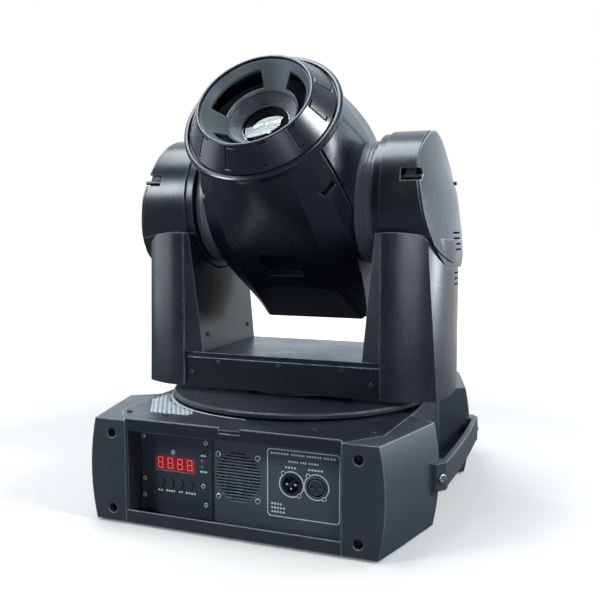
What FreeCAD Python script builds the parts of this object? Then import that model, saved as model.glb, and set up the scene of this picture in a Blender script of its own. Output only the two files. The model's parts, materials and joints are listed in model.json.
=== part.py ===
import FreeCAD, Part
import math
import os

V = FreeCAD.Vector
X_AXIS = V(1, 0, 0)
Y_AXIS = V(0, 1, 0)
Z_AXIS = V(0, 0, 1)
LEFT, RIGHT = -1, 1

# Moving head light, in millimetres. +Z is up and -Y is the front, where the control panel is.
# The origin is on the floor under the pan axis.

# ---- driving dimensions ----
FOOT_H = 3.0
BASE_H = 121.0
BASE_TOP = FOOT_H + BASE_H
BASE_MID = FOOT_H + BASE_H / 2
HALF_DEPTH = 228.0
SHEET = 2.0
WALL = 3.0

CHASSIS_X = 132.2          # outer face of the chassis's side walls
CAP_X = 173.0              # front corner of a side cover
BAND_X, BAND_Y = 183.4, 190.0
FLARE_X, FLARE_Y = 204.0, 107.6
RECESS_X, RECESS_Y = 171.0, 84.0   # inner wall of the handle recess
COVER_BULGE = 6.7
PANEL_DEPTH = 33.4         # front and rear panels sit this far back from the lips
PANEL_Y = HALF_DEPTH - PANEL_DEPTH
LOWER_LIP_H = 14.6
UPPER_LIP_H = 11.6

BRIDGE_Z0, BRIDGE_Z1 = 84.0, 88.0
PAN_SHAFT_R = 30.0
CABLE_BORE_R = 22.0
RUNNING_GAP = 0.05
DISC_R = 173.0
DISC_Z0, DISC_Z1 = 126.0, 133.0
YOKE_Z0 = 139.0
CROSSBAR_TOP = 184.0
CROSSBAR_X, CROSSBAR_Y = 133.0, 84.0
PAN_PULLEY_R, PAN_MOTOR_PULLEY_R = 45.0, 12.0
PAN_BELT_Z = 97.0
PAN_CENTRES = 110.0

TILT_Z = 379.0
DRUM_R = 88.5
ARM_IN_X, ARM_IN_TOP_X = 104.0, 126.0
DRUM_IN_X = 120.0
ARM_OUT_X = 206.0
ARM_FRONT_Y = 88.0
BEVEL_X = 133.0
FRAME_X0, FRAME_X1 = 133.0, 137.0
TILT_SHAFT_R = 24.0
HUB_R, HUB_X1 = 78.0, 118.3
TILT_PULLEY_R, TILT_MOTOR_PULLEY_R = 42.0, 11.0
TILT_BELT_X = 152.0
TILT_MOTOR_Z = 240.0

HEAD_FROM_VERTICAL = 53.4  # the head leans this far towards the front at rest
FLANGE_D0, FLANGE_D1, FLANGE_R = 156.0, 166.0, 98.5
BEZEL_R0, BEZEL_R1 = 90.8, 70.7
RIM_D, RIM_IN_R = 193.0, 67.7
TUBE_R, TUBE_D = 41.8, 163.5
LENS_R, LENS_SEAT_R = 36.0, 30.0
HEAD_REAR_D = -134.0
WHEEL_AXIS_Y, WHEEL_R = 42.0, 57.0
PIN_R = 3.0

FAN_X, FAN_Z = -3.0, 61.5
FAN_HOLE_PITCH = 50.0
SOCKET_X = (62.7, 92.4)
SOCKET_Z = 61.0
SOCKET_R = 12.0
PLATE_X0, PLATE_X1, PLATE_Z0, PLATE_Z1 = -129.5, -35.0, 7.0, 103.0
DISPLAY_X0, DISPLAY_X1, DISPLAY_Z0, DISPLAY_Z1 = -110.5, -58.0, 60.0, 78.0
BUTTON_X = (-104.0, -91.0, -78.0, -65.0)
BUTTON_Z, BUTTON_R = 45.5, 5.5
BUTTON_GAP = 0.3
LED_X, LED_Z = -47.5, (77.0, 69.5)
CLAMP_PITCH_X, CLAMP_PITCH_Y, CLAMP_HOLE_R = 106.0, 230.0, 4.25

# side covers and handles
CORNER_X, CORNER_Y = 166.0, 183.0
CAP_HOLE_X, CAP_HOLE_Z = 150.7, (17.6, 107.5)
CAP_HOLE_R, CAP_SEAT = 5.6, 15.0
CAP_BOSS_R, CAP_BOSS_L = 9.5, 20.0
CAP_SHANK_R = 2.0
STRAP_X0, STRAP_X1, STRAP_Z0, STRAP_Z1, STRAP_BOW = 212.5, 220.5, 51.0, 81.0, 3.0
BLOCK_Z0, BLOCK_Z1 = 49.5, 81.5
BLOCK_Y0, BLOCK_Y1, BLOCK_BEVEL_Y, BLOCK_BEVEL_X = 104.0, 128.0, 116.0, 212.0
BOLT_AXIS = V(0.8, -0.6, 0)
BOLT_POINT = V(216.4, -122.1, 64.5)
BOLT_SHANK_R, BOLT_SHANK_L = 2.5, 6.0

# base sheet metal
TOP_SCREWS = ((88, -190), (-101, -190), (152, -178), (-152, -188),
              (88, 190), (-101, 190), (152, 178), (-152, 188))
TOP_SCREW_R = 1.9
HEM_T, HEM_H = 2.8, 2.7
NOTCH_X0, NOTCH_X1 = -11.0, 15.0
SMALL_SCREW_R = 1.5
INLET_X, INLET_Z = 62.0, 48.0
EYE_X, EYE_Z, EYE_R, EYE_ROD = -70.0, 60.0, 14.0, 3.5

# control panel
PLATE_T = 3.0
PLATE_Y0 = -PANEL_Y - PLATE_T
PLATE_SCREWS = ((-126.5, 98.5), (-43.0, 98.0), (-125.5, 47.5),
                (-126.0, 27.0), (-43.0, 24.5), (-46.5, 46.5))
SENSOR_X, SENSOR_Z, SENSOR_R = -86.5, 83.0, 2.4
PCB_Y = -187.0
PCB_T = 1.6

# inside the base
MOTOR_HALF = 28.0

# yoke
CROSSBAR_SCREWS = ((-123, 157), (-84, 172), (0, 173), (84, 172), (123, 157))
BEVEL_SLOPE = 0.33
ARM_CORNERS = ((100.0, (201.0, -65.0), (198.0, 67.0)), (345.0, (186.0, -75.5), (190.0, 72.0)))
CAP_SKEW, CAP_BOW = 0.06, 0.0013
OUTER_CURVE = ((206.5, 306), (204.5, 328), (202, 348), (199.5, 366), (197, 385), (192.5, 404),
               (187, 424), (182.5, 443), (180, 455), (177.5, 470))
PANEL_CURVE = ((176.8, 448), (177.2, 430), (178.8, 415), (181, 398), (184.3, 378), (189, 356),
               (195.5, 331), (204, 308.5), (213, 291))
GROOVE, GROOVE_DEPTH = 0.9, 1.6
DRUM_FLAT_X, DRUM_FLAT_Z = 172.0, 297.0
CLIP_X0, CLIP_X1, CLIP_Z0, CLIP_Z1 = 155.0, 179.5, 401.5, 416.0
ARM_SCREWS = ((-62.0, 205.0), (62.0, 205.0))
CLIP_Y = 84.0

# head, built with its optical axis along +Z and +Y towards the upper shell
HEAD_SECTIONS = (
    (156.0, 48.0, 76.0, 90.0, 67.0, 60.0, 78.5, 44.0, 90.0),
    (110.0, 55.0, 91.0, 98.0, 80.0, 72.0, 89.5, 50.0, 96.0),
    (50.0, 60.0, 103.0, 106.0, 91.0, 84.0, 97.0, 57.0, 99.5),
    (-41.0, 60.0, 107.0, 108.5, 90.0, 88.0, 97.0, 59.0, 99.0),
    (-134.0, 60.0, 106.0, 107.5, 76.0, 91.0, 84.5, 57.0, 87.0))
REAR_CREASE_D, REAR_EDGE_Y, CREASE_Y = -41.0, 97.0, 108.0
SEAM_FRONT, SEAM_MID, SEAM_MID_D = 45.0, 59.0, 55.0
SEAM_GAP, SEAM_DEPTH = 3.6, 2.3
HUB_BOSS_R = 40.0
RECESS_D0, RECESS_D1, RECESS_HALF, RECESS_DEPTH = -11.0, 33.0, 24.5, 7.0
LATCH_X, LATCH_Y0, LATCH_Y1, LATCH_D0, LATCH_D1 = 80.5, -75.0, -57.0, 105.5, 113.5
DISH_T = 2.2
SPOKE_ANGLES = (80.0, 200.0, 320.0)
SPOKE_HALF_DEG = 19.5
WINDOW_R0, WINDOW_R1 = 45.0, 60.0
CHASSIS_RING_D0, CHASSIS_RING_D1 = 145.0, 149.0
SIDE_PLATE_X0, SIDE_PLATE_X1 = 80.0, 84.0
REAR_PLATE_D = -58.0
FOCUS_D = 86.0
REAR_PLATE_T = 3.0
HUB_JOIN_X = 90.0

os.makedirs("parts", exist_ok=True)


# ---- helpers ----
def export(name, shape):
    shape.exportStep("parts/%s.step" % name)


def box(x0, x1, y0, y1, z0, z1):
    return Part.makeBox(x1 - x0, y1 - y0, z1 - z0, V(x0, y0, z0))


def cyl(radius, start, axis, length):
    return Part.makeCylinder(radius, length, V(*start), axis)


def tube(outer, inner, start, axis, length):
    return cyl(outer, start, axis, length).cut(cyl(inner, start, axis, length))


def prism(points, direction):
    loop = [V(*p) for p in points]
    return Part.Face(Part.makePolygon(loop + loop[:1])).extrude(direction)


def revolve(profile, axis=Z_AXIS):
    """Turn a closed (radius, height) profile about the Z axis."""
    loop = [V(r, 0, h) for r, h in profile]
    face = Part.Face(Part.makePolygon(loop + loop[:1]))
    return face.revolve(V(0, 0, 0), axis, 360)


def union(shapes):
    return shapes[0].multiFuse(shapes[1:]).removeSplitter()


def group(shapes):
    return Part.makeCompound(shapes)


def mirror_x(shape):
    return shape.mirror(V(0, 0, 0), X_AXIS)


def sided(shape, side):
    return shape if side == RIGHT else mirror_x(shape)


def turned(shape, side):
    """The same moulding on the other side, turned half round the pan axis."""
    if side == RIGHT:
        return shape
    other = shape.copy()
    other.rotate(V(0, 0, 0), Z_AXIS, 180)
    return other


def belt(r_a, r_b, distance, width, thickness):
    """A flat belt round two pulleys, in the XY plane, from the origin along +X."""
    lean = math.asin((r_a - r_b) / distance)
    c, s = math.cos(lean), math.sin(lean)

    def loop(extra):
        a, b = r_a + extra, r_b + extra
        top_a, top_b = V(a * s, a * c, 0), V(distance + b * s, b * c, 0)
        low_a, low_b = V(a * s, -a * c, 0), V(distance + b * s, -b * c, 0)
        edges = [Part.LineSegment(top_a, top_b).toShape(),
                 Part.Arc(top_b, V(distance + b, 0, 0), low_b).toShape(),
                 Part.LineSegment(low_b, low_a).toShape(),
                 Part.Arc(low_a, V(-a, 0, 0), top_a).toShape()]
        return Part.Face(Part.Wire(edges)).extrude(V(0, 0, width))
    slack = 0.4
    return loop(slack + thickness).cut(loop(slack))


def pan_head_screw(x, y, z, axis, head_r, head_h, shank_r, shank_l):
    """A screw whose head stands on the surface at (x, y, z), with a cross recess."""
    head = cyl(head_r, (x, y, z), axis, head_h)
    edges = [e for e in head.Edges if abs((e.CenterOfMass - V(x, y, z)).dot(axis) - head_h) < 1e-3]
    head = head.makeFillet(head_h * 0.45, [e for e in edges if len(e.Vertexes) == 1])
    arm, slot = head_r * 0.62, head_r * 0.2
    cross = union([box(-arm, arm, -slot, slot, 0, head_h), box(-slot, slot, -arm, arm, 0, head_h)])
    cross.Placement = FreeCAD.Placement(V(x, y, z) + axis * (head_h * 0.5),
                                        FreeCAD.Rotation(Z_AXIS, axis))
    shank = cyl(shank_r, (x, y, z), axis * -1, shank_l)
    return head.cut(cross).fuse(shank).removeSplitter()


# ---- side covers and handles ----
def cover_outline(inset, bulge, open_x):
    """Plan outline of the right side cover, from the chassis outwards."""
    depth = HALF_DEPTH - inset
    corner = CAP_X - inset + bulge
    flare = FLARE_X - inset + bulge
    half = [(open_x, -depth), (corner, -depth), (BAND_X - inset + bulge, -BAND_Y),
            (flare, -FLARE_Y - inset), (RECESS_X - inset, -RECESS_Y - inset)]
    return half + [(x, -y) for x, y in reversed(half)]


def cover_solid(inset, z0, z1, open_x):
    wires = []
    stations = 5
    for i in range(stations):
        z = z0 + (z1 - z0) * i / (stations - 1)
        bulge = COVER_BULGE * (1 - ((z - BASE_MID) / (BASE_H / 2)) ** 2)
        loop = [V(x, y, z) for x, y in cover_outline(inset, bulge, open_x)]
        wires.append(Part.makePolygon(loop + loop[:1]))
    return Part.makeLoft(wires, True, False)


def top_sheet(z0, height):
    """The flat of the top plate, with its corners cut back to the seams of the side covers."""
    quarter = [(CHASSIS_X, HALF_DEPTH), (CORNER_X, CORNER_Y), (RECESS_X, RECESS_Y)]
    right = quarter + [(x, -y) for x, y in reversed(quarter)]
    outline = right + [(-x, -y) for x, y in right]
    return prism([(x, y, z0) for x, y in outline], V(0, 0, height))


COVER_SOLID = cover_solid(0, FOOT_H, BASE_TOP, CHASSIS_X)


def side_cover():
    inner = cover_solid(WALL, FOOT_H + WALL, BASE_TOP - 2 * WALL + 1, CHASSIS_X - 10)
    shell = COVER_SOLID.cut(inner)
    shell = shell.cut(top_sheet(BASE_TOP - SHEET, 5))
    bosses, holes = [], []
    for end in (-1, 1):
        y = end * HALF_DEPTH
        for z in CAP_HOLE_Z:
            inward = Y_AXIS * -end
            bosses.append(cyl(CAP_BOSS_R, (CAP_HOLE_X, y, z), inward, CAP_BOSS_L))
            holes.append(cyl(CAP_HOLE_R, (CAP_HOLE_X, y, z), inward, CAP_SEAT))
            holes.append(cyl(CAP_SHANK_R, (CAP_HOLE_X, y, z), inward, CAP_BOSS_L))
    return union([shell] + bosses).cut(union(holes))


def strap_handle():
    """A flat grip across the recess, with a bevelled block at each end for its bolt."""
    def bow(x):
        start, end = V(x, -BLOCK_BEVEL_Y, STRAP_Z0), V(x, BLOCK_BEVEL_Y, STRAP_Z0)
        return Part.Arc(start, V(x + STRAP_BOW, 0, STRAP_Z0), end).toShape()
    ends = [Part.makeLine(V(STRAP_X0, y, STRAP_Z0), V(STRAP_X1, y, STRAP_Z0))
            for y in (-BLOCK_BEVEL_Y, BLOCK_BEVEL_Y)]
    outline = Part.Wire(Part.__sortEdges__([bow(STRAP_X0), bow(STRAP_X1)] + ends))
    strap = Part.Face(outline).extrude(V(0, 0, STRAP_Z1 - STRAP_Z0))
    long_edges = [e for e in strap.Edges if e.Length > BLOCK_Y1]
    strap = strap.makeFillet(1.6, long_edges)
    blocks = []
    for end in (-1, 1):
        outline = [(196, BLOCK_Y1), (BLOCK_BEVEL_X, BLOCK_Y1), (STRAP_X1, BLOCK_BEVEL_Y),
                   (STRAP_X1, BLOCK_Y0), (196, BLOCK_Y0)]
        block = prism([(x, end * y, BLOCK_Z0) for x, y in outline], V(0, 0, BLOCK_Z1 - BLOCK_Z0))
        upright = [e for e in block.Edges if len(e.Vertexes) == 2 and e.CenterOfMass.x > 205
                   and abs(e.Length - (BLOCK_Z1 - BLOCK_Z0)) < 1e-3]
        blocks.append(block.makeFillet(1.5, upright))
    handle = union([strap] + blocks).cut(COVER_SOLID)
    bores = [cyl(BOLT_SHANK_R, (BOLT_POINT.x, end * -BOLT_POINT.y, BOLT_POINT.z),
                 V(-BOLT_AXIS.x, -end * -BOLT_AXIS.y, 0), BOLT_SHANK_L) for end in (-1, 1)]
    return handle.cut(group(bores))


def handle_bolt(end):
    """Bolt on a block's bevel; end is -1 at the front and 1 at the rear."""
    axis = V(BOLT_AXIS.x, end * -BOLT_AXIS.y, 0)
    return pan_head_screw(BOLT_POINT.x, end * -BOLT_POINT.y, BOLT_POINT.z, axis, 5.2, 3.0,
                          BOLT_SHANK_R, BOLT_SHANK_L)


# ---- base sheet metal ----
def base_chassis():
    inner_x = CHASSIS_X - SHEET
    floor = box(-CHASSIS_X, CHASSIS_X, -HALF_DEPTH, HALF_DEPTH, FOOT_H, FOOT_H + SHEET)
    wall_y = HALF_DEPTH - SHEET
    walls = [box(x, x + SHEET, -wall_y, wall_y, FOOT_H, BASE_TOP - SHEET) for x in (-CHASSIS_X, inner_x)]
    lips = [box(-CHASSIS_X, CHASSIS_X, y, y + SHEET, FOOT_H, FOOT_H + LOWER_LIP_H)
            for y in (-HALF_DEPTH, wall_y)]
    bridge_y = 66.0
    bridge = box(-inner_x, inner_x, -bridge_y, 142, BRIDGE_Z0, BRIDGE_Z1)
    chassis = union([floor] + walls + lips + [bridge])
    motor_r, shaft_hole = 14.0, PAN_SHAFT_R + 1
    cuts = [cyl(shaft_hole, (0, 0, 80), Z_AXIS, 12), cyl(motor_r, (0, PAN_CENTRES, 80), Z_AXIS, 12)]
    for x in (-CLAMP_PITCH_X / 2, CLAMP_PITCH_X / 2):
        for y in (-CLAMP_PITCH_Y / 2, CLAMP_PITCH_Y / 2):
            cuts.append(cyl(CLAMP_HOLE_R, (x, y, 0), Z_AXIS, 10))
    lighten = [box(s * 70 - 30, s * 70 + 30, -50, 50, 80, 90) for s in (-1, 1)]
    return chassis.cut(union(cuts + lighten))


def vent_field():
    """Round holes between the turntable and one front corner of the top plate."""
    pitch, hole_r, rows, columns = 6.4, 1.9, 26, 14
    edge_x, edge_y, edge_slope = -158.0, -132.0, 0.63
    holes = []
    for row in range(rows):
        for column in range(columns):
            x = -(78 + column * pitch + (row % 2) * pitch / 2)
            y = -(50 + row * pitch * math.sqrt(3) / 2)
            clear_of_disc = math.hypot(x, y) > DISC_R + 6
            inside_edge = x > edge_x + (edge_y - y) * edge_slope and x > -163
            if clear_of_disc and inside_edge and y > -182:
                holes.append(cyl(hole_r, (x, y, BASE_TOP - 5), Z_AXIS, 10))
    return holes


def rounded_top(block, radius):
    """A box with its long upper edges rounded."""
    top = block.BoundBox.ZMax
    edges = [e for e in block.Edges if e.BoundBox.ZMin > top - 1e-3 and e.BoundBox.XLength > 5]
    return block.makeFillet(radius, edges)


def base_top_plate():
    z0 = BASE_TOP - SHEET
    y_out = HALF_DEPTH
    plate = top_sheet(z0, SHEET)
    lips = [box(-CHASSIS_X, CHASSIS_X, y, y + SHEET, BASE_TOP - UPPER_LIP_H, z0)
            for y in (-y_out, y_out - SHEET)]
    hems = [box(x0, x1, y, y + HEM_T, BASE_TOP - SHEET, BASE_TOP + HEM_H)
            for x0, x1 in ((-CHASSIS_X, NOTCH_X0), (NOTCH_X1, CHASSIS_X)) for y in (-y_out, y_out - HEM_T)]
    plate = union([plate] + lips + [rounded_top(hem, 1.2) for hem in hems])
    notch = box(NOTCH_X0, NOTCH_X1, -y_out - 1, -y_out + 1, BASE_TOP - 4, BASE_TOP + 1)
    shaft_hole = cyl(52, (0, 0, z0 - 1), Z_AXIS, 5)
    screws = [cyl(TOP_SCREW_R, (x, y, z0 - 1), Z_AXIS, 5) for x, y in TOP_SCREWS]
    mesh = vent_field()
    mesh_behind = [h.mirror(V(0, 0, 0), Y_AXIS).mirror(V(0, 0, 0), X_AXIS) for h in mesh]
    return plate.cut(group([notch, shaft_hole] + screws + mesh + mesh_behind))


def grille_slots(y):
    """Horizontal slots inside a circle, for the base fan."""
    radius, count = 29.2, 16
    pitch = 2 * radius / count
    slots = []
    for i in range(count):
        dz = (i - (count - 1) / 2) * pitch
        half = math.sqrt(radius ** 2 - dz ** 2) - 0.5
        slots.append(box(FAN_X - half, FAN_X + half, y - 5, y + 5, FAN_Z + dz - 1.0, FAN_Z + dz + 1.0))
    return slots


def fan_screw_places():
    half = FAN_HOLE_PITCH / 2
    return [(FAN_X + i * half, FAN_Z + j * half) for i in (-1, 1) for j in (-1, 1)]


SOCKET_SCREWS = [(x + i * 9.5, SOCKET_Z + j * 12.0) for x in SOCKET_X for i, j in ((-1, 1), (1, -1))]


def front_panel():
    inner_x = CHASSIS_X - SHEET
    panel = box(-inner_x, inner_x, -PANEL_Y, -PANEL_Y + SHEET, FOOT_H + SHEET, BASE_TOP - SHEET)
    window = box(-124, -42, -PANEL_Y - 5, -PANEL_Y + 5, 18, 93)
    cuts = grille_slots(-PANEL_Y) + [window]
    for x in SOCKET_X:
        cuts.append(cyl(SOCKET_R + 0.2, (x, -PANEL_Y - 5, SOCKET_Z), Y_AXIS, 10))
    for x, z in SOCKET_SCREWS + fan_screw_places():
        cuts.append(cyl(SMALL_SCREW_R, (x, -PANEL_Y - 5, z), Y_AXIS, 10))
    return panel.cut(group(cuts))


def rear_panel():
    inner_x = CHASSIS_X - SHEET
    panel = box(-inner_x, inner_x, PANEL_Y - SHEET, PANEL_Y, FOOT_H + SHEET, BASE_TOP - SHEET)
    cuts = [box(INLET_X - 23, INLET_X + 23, PANEL_Y - 5, PANEL_Y + 5, INLET_Z - 22, INLET_Z + 22)]
    for row in range(3):
        for column in range(14):
            x = -110 + column * 8 + (120 if column > 9 else 0)
            z0 = 84 + row * 11
            cuts.append(box(x, x + 3.5, PANEL_Y - 5, PANEL_Y + 5, z0, z0 + 8))
    return panel.cut(group(cuts))


def power_inlet():
    """A fused three-pin inlet: flange, well with blades, and a fuse drawer above."""
    y = PANEL_Y
    flange = box(INLET_X - 27, INLET_X + 27, y, y + 3, INLET_Z - 26, INLET_Z + 26)
    body = box(INLET_X - 22.5, INLET_X + 22.5, y - 24, y, INLET_Z - 21.5, INLET_Z + 21.5)
    well = box(INLET_X - 12.5, INLET_X + 12.5, y - 16, y + 4, INLET_Z - 18, INLET_Z)
    drawer_slot = box(INLET_X - 12, INLET_X + 12, y + 1.5, y + 4, INLET_Z + 6, INLET_Z + 18)
    pins = [box(INLET_X + dx - 1, INLET_X + dx + 1, y - 16, y - 1,
                INLET_Z - 11 + dz, INLET_Z - 7 + dz)
            for dx, dz in ((-7, -2.5), (0, 2.5), (7, -2.5))]
    return union([union([flange, body]).cut(well).cut(drawer_slot)] + pins)


def safety_cable_eye():
    ring = Part.makeTorus(EYE_R, EYE_ROD, V(EYE_X, PANEL_Y, EYE_Z), Z_AXIS)
    ring = ring.common(box(EYE_X - 30, EYE_X + 30, PANEL_Y, PANEL_Y + 30, EYE_Z - 10, EYE_Z + 10))
    legs = [cyl(EYE_ROD, (EYE_X + s * EYE_R, PANEL_Y, EYE_Z), Y_AXIS, 6) for s in (-1, 1)]
    ring.translate(V(0, 6, 0))
    ring = ring.common(box(EYE_X - 30, EYE_X + 30, PANEL_Y + 6, PANEL_Y + 40, EYE_Z - 10, EYE_Z + 10))
    pad = box(EYE_X - 24, EYE_X + 24, PANEL_Y, PANEL_Y + 2, EYE_Z - 8, EYE_Z + 8)
    return union([ring, pad] + legs)


# ---- control panel ----


def control_panel():
    plate = box(PLATE_X0, PLATE_X1, PLATE_Y0, -PANEL_Y, PLATE_Z0, PLATE_Z1)
    corner = [e for e in plate.Edges if abs(e.CenterOfMass.x - PLATE_X1) < 1e-3
              and abs(e.CenterOfMass.y - PLATE_Y0) < 1e-3 and e.Length > 50]
    plate = plate.makeFillet(PLATE_T * 0.8, corner)
    y0, depth = PLATE_Y0 - 1, PLATE_T + 2
    cuts = [box(DISPLAY_X0, DISPLAY_X1, y0, y0 + depth, DISPLAY_Z0, DISPLAY_Z1)]
    for x in BUTTON_X:
        cuts.append(cyl(BUTTON_R + BUTTON_GAP, (x, y0, BUTTON_Z), Y_AXIS, depth))
    for z in LED_Z:
        cuts.append(cyl(1.6, (LED_X, y0, z), Y_AXIS, depth))
    for x, z in PLATE_SCREWS:
        cuts.append(cyl(SMALL_SCREW_R, (x, y0, z), Y_AXIS, depth))
    cuts.append(tube(SENSOR_R + 1, SENSOR_R, (SENSOR_X, PLATE_Y0 - 1, SENSOR_Z), Y_AXIS, 2))
    return plate.cut(group(cuts))


def display_window():
    return box(DISPLAY_X0, DISPLAY_X1, PLATE_Y0 + 0.6, -PANEL_Y - 0.4, DISPLAY_Z0, DISPLAY_Z1)


def display_module():
    board = box(-122, -44, PCB_Y, PCB_Y + PCB_T, 21, 90)
    digits = box(DISPLAY_X0 + 2, DISPLAY_X1 - 2, -PANEL_Y - 0.4, PCB_Y, DISPLAY_Z0 + 1, DISPLAY_Z1 - 1)
    posts = [cyl(2.5, (x, -PANEL_Y, z), Y_AXIS, PCB_Y + PANEL_Y) for x in (-119, -47) for z in (24, 87)]
    leds = [cyl(1.5, (LED_X, PLATE_Y0 - 0.8, z), Y_AXIS, PCB_Y - PLATE_Y0 + 0.8) for z in LED_Z]
    switches = [box(x - 3, x + 3, PCB_Y - 1, PCB_Y, BUTTON_Z - 3, BUTTON_Z + 3) for x in BUTTON_X]
    return union([board, digits] + posts + leds + switches)


def menu_button(x):
    """A round cap with a flange behind the plate and a stem to its switch."""
    proud = 2.0
    cap = cyl(BUTTON_R, (x, PLATE_Y0 - proud, BUTTON_Z), Y_AXIS, PLATE_T + proud + 0.4)
    front = [e for e in cap.Edges if len(e.Vertexes) == 1
             and abs(e.CenterOfMass.y - (PLATE_Y0 - proud)) < 1e-3]
    cap = cap.makeFillet(0.8, front)
    flange = cyl(BUTTON_R + 0.7, (x, -PANEL_Y + 0.3, BUTTON_Z), Y_AXIS, 1.5)
    stem = cyl(2.0, (x, -PANEL_Y + 0.3, BUTTON_Z), Y_AXIS, 5.0)
    return union([cap, flange, stem])


def socket(index):
    """A round three-pole panel socket on a rectangular flange; index 0 has pins, 1 has holes."""
    x, y = SOCKET_X[index], -PANEL_Y
    flange = box(x - 13, x + 13, y + SHEET, y + SHEET + 2, SOCKET_Z - 15.5, SOCKET_Z + 15.5)
    upright = [e for e in flange.Edges if abs(e.tangentAt(e.FirstParameter).y) > 0.99]
    flange = flange.makeFillet(3.0, upright)
    collar = cyl(SOCKET_R, (x, y - 1.6, SOCKET_Z), Y_AXIS, 26.4)
    body = union([flange, collar])
    contacts = [(x + 5 * math.cos(a), SOCKET_Z + 5 * math.sin(a)) for a in (math.pi, 0, -math.pi / 2)]
    if index == 0:
        body = body.cut(cyl(9.5, (x, y - 4, SOCKET_Z), Y_AXIS, 16))
        body = union([body] + [cyl(1.2, (cx, y - 1, cz), Y_AXIS, 14) for cx, cz in contacts])
    else:
        body = body.cut(cyl(10.6, (x, y - 4, SOCKET_Z), Y_AXIS, 14))
        insert = cyl(9.0, (x, y - 1.6, SOCKET_Z), Y_AXIS, 11.6)
        insert = insert.cut(group([cyl(1.4, (cx, y - 4, cz), Y_AXIS, 14) for cx, cz in contacts]))
    own = [p for p in SOCKET_SCREWS if abs(p[0] - x) < 13]
    body = body.cut(group([cyl(SMALL_SCREW_R, (sx, y - 5, sz), Y_AXIS, 10) for sx, sz in own]))
    return body if index == 0 else group([body, insert])


def base_fan_frame():
    half, y0, depth = 30.0, -PANEL_Y + SHEET, 20.0
    frame = box(FAN_X - half, FAN_X + half, y0, y0 + depth, FAN_Z - half, FAN_Z + half)
    frame = frame.cut(cyl(27.5, (FAN_X, y0 - 1, FAN_Z), Y_AXIS, depth + 2))
    back = y0 + depth - 3
    struts = [box(FAN_X - 27.6, FAN_X + 27.6, back, back + 3, FAN_Z - 2, FAN_Z + 2),
              box(FAN_X - 2, FAN_X + 2, back, back + 3, FAN_Z - 27.6, FAN_Z + 27.6),
              cyl(12, (FAN_X, back, FAN_Z), Y_AXIS, 3)]
    frame = union([frame] + struts).cut(cyl(1.5 + RUNNING_GAP, (FAN_X, back - 1, FAN_Z), Y_AXIS, 5))
    holes = [cyl(SMALL_SCREW_R, (x, y0 - 1, z), Y_AXIS, 12) for x, z in fan_screw_places()]
    return frame.cut(group(holes))


def fan_rotor(blade_r, hub_r, depth, blades):
    """An axial fan rotor along +Z from the origin."""
    hub = cyl(hub_r, (0, 0, 0), Z_AXIS, depth)
    pieces = [hub]
    chord, thick, pitch_deg = depth * 1.25, 1.6, 38
    for i in range(blades):
        blade = box(hub_r - 2, blade_r, -chord / 2, chord / 2, -thick / 2, thick / 2)
        blade.rotate(V(0, 0, 0), X_AXIS, pitch_deg)
        blade.translate(V(0, 0, depth / 2))
        blade.rotate(V(0, 0, 0), Z_AXIS, 360 * i / blades)
        pieces.append(blade)
    sweep = cyl(blade_r, (0, 0, 0), Z_AXIS, depth)
    return union(pieces).common(sweep)


def base_fan_rotor():
    rotor = fan_rotor(26.3, 12.0, 13.0, 7)
    pin = cyl(1.5, (0, 0, 13.0), Z_AXIS, 2.8)
    rotor = rotor.fuse(pin)
    rotor.rotate(V(0, 0, 0), X_AXIS, -90)
    rotor.translate(V(FAN_X, -PANEL_Y + SHEET + 3.5, FAN_Z))
    return rotor


# ---- inside the base ----
def power_supply():
    case = box(-126, -58, -40, 160, FOOT_H + SHEET, 58)
    slots = [box(-120 + i * 8, -116 + i * 8, -41, -30, 14, 50) for i in range(7)]
    return case.cut(group(slots))


def control_board():
    board = box(62, 128, -120, 150, 13, 14.6)
    posts = [cyl(3, (x, y, FOOT_H + SHEET), Z_AXIS, 8) for x in (67, 123) for y in (-114, 144)]
    parts = [box(66, 86, -90, -60, 14.6, 24),
             box(92, 116, -20, 20, 14.6, 20),
             cyl(9, (76, 60, 14.6), Z_AXIS, 30),
             cyl(9, (100, 60, 14.6), Z_AXIS, 30), box(68, 116, 90, 120, 14.6, 30)]
    return union([board] + posts + parts)


def pan_bearing_housing():
    flange = cyl(56, (0, 0, BRIDGE_Z0 - 5), Z_AXIS, 5)
    sleeve = cyl(44, (0, 0, 52), Z_AXIS, BRIDGE_Z0 - 52)
    return union([flange, sleeve]).cut(cyl(PAN_SHAFT_R + RUNNING_GAP, (0, 0, 40), Z_AXIS, 60))


def pan_motor():
    body = box(-MOTOR_HALF, MOTOR_HALF, PAN_CENTRES - MOTOR_HALF, PAN_CENTRES + MOTOR_HALF,
               34, BRIDGE_Z0)
    upright = [e for e in body.Edges if abs(e.tangentAt(e.FirstParameter).z) > 0.99]
    body = body.makeFillet(5, upright)
    return body.cut(cyl(3 + RUNNING_GAP, (0, PAN_CENTRES, 60), Z_AXIS, 30))


def pulley(radius, width, flange):
    rim = cyl(radius, (0, 0, 0), Z_AXIS, width)
    cheeks = [cyl(radius + flange, (0, 0, z), Z_AXIS, 1.2) for z in (-1.2, width)]
    return union([rim] + cheeks)


def pan_motor_pulley():
    wheel = pulley(PAN_MOTOR_PULLEY_R, 9.0, 2.5)
    wheel.translate(V(0, PAN_CENTRES, PAN_BELT_Z - 4.5))
    return wheel.fuse(cyl(3, (0, PAN_CENTRES, 62), Z_AXIS, 35))


def pan_belt():
    band = belt(PAN_PULLEY_R, PAN_MOTOR_PULLEY_R, PAN_CENTRES, 7.0, 1.4)
    band.rotate(V(0, 0, 0), Z_AXIS, 90)
    band.translate(V(0, 0, PAN_BELT_Z - 3.5))
    return band


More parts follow.
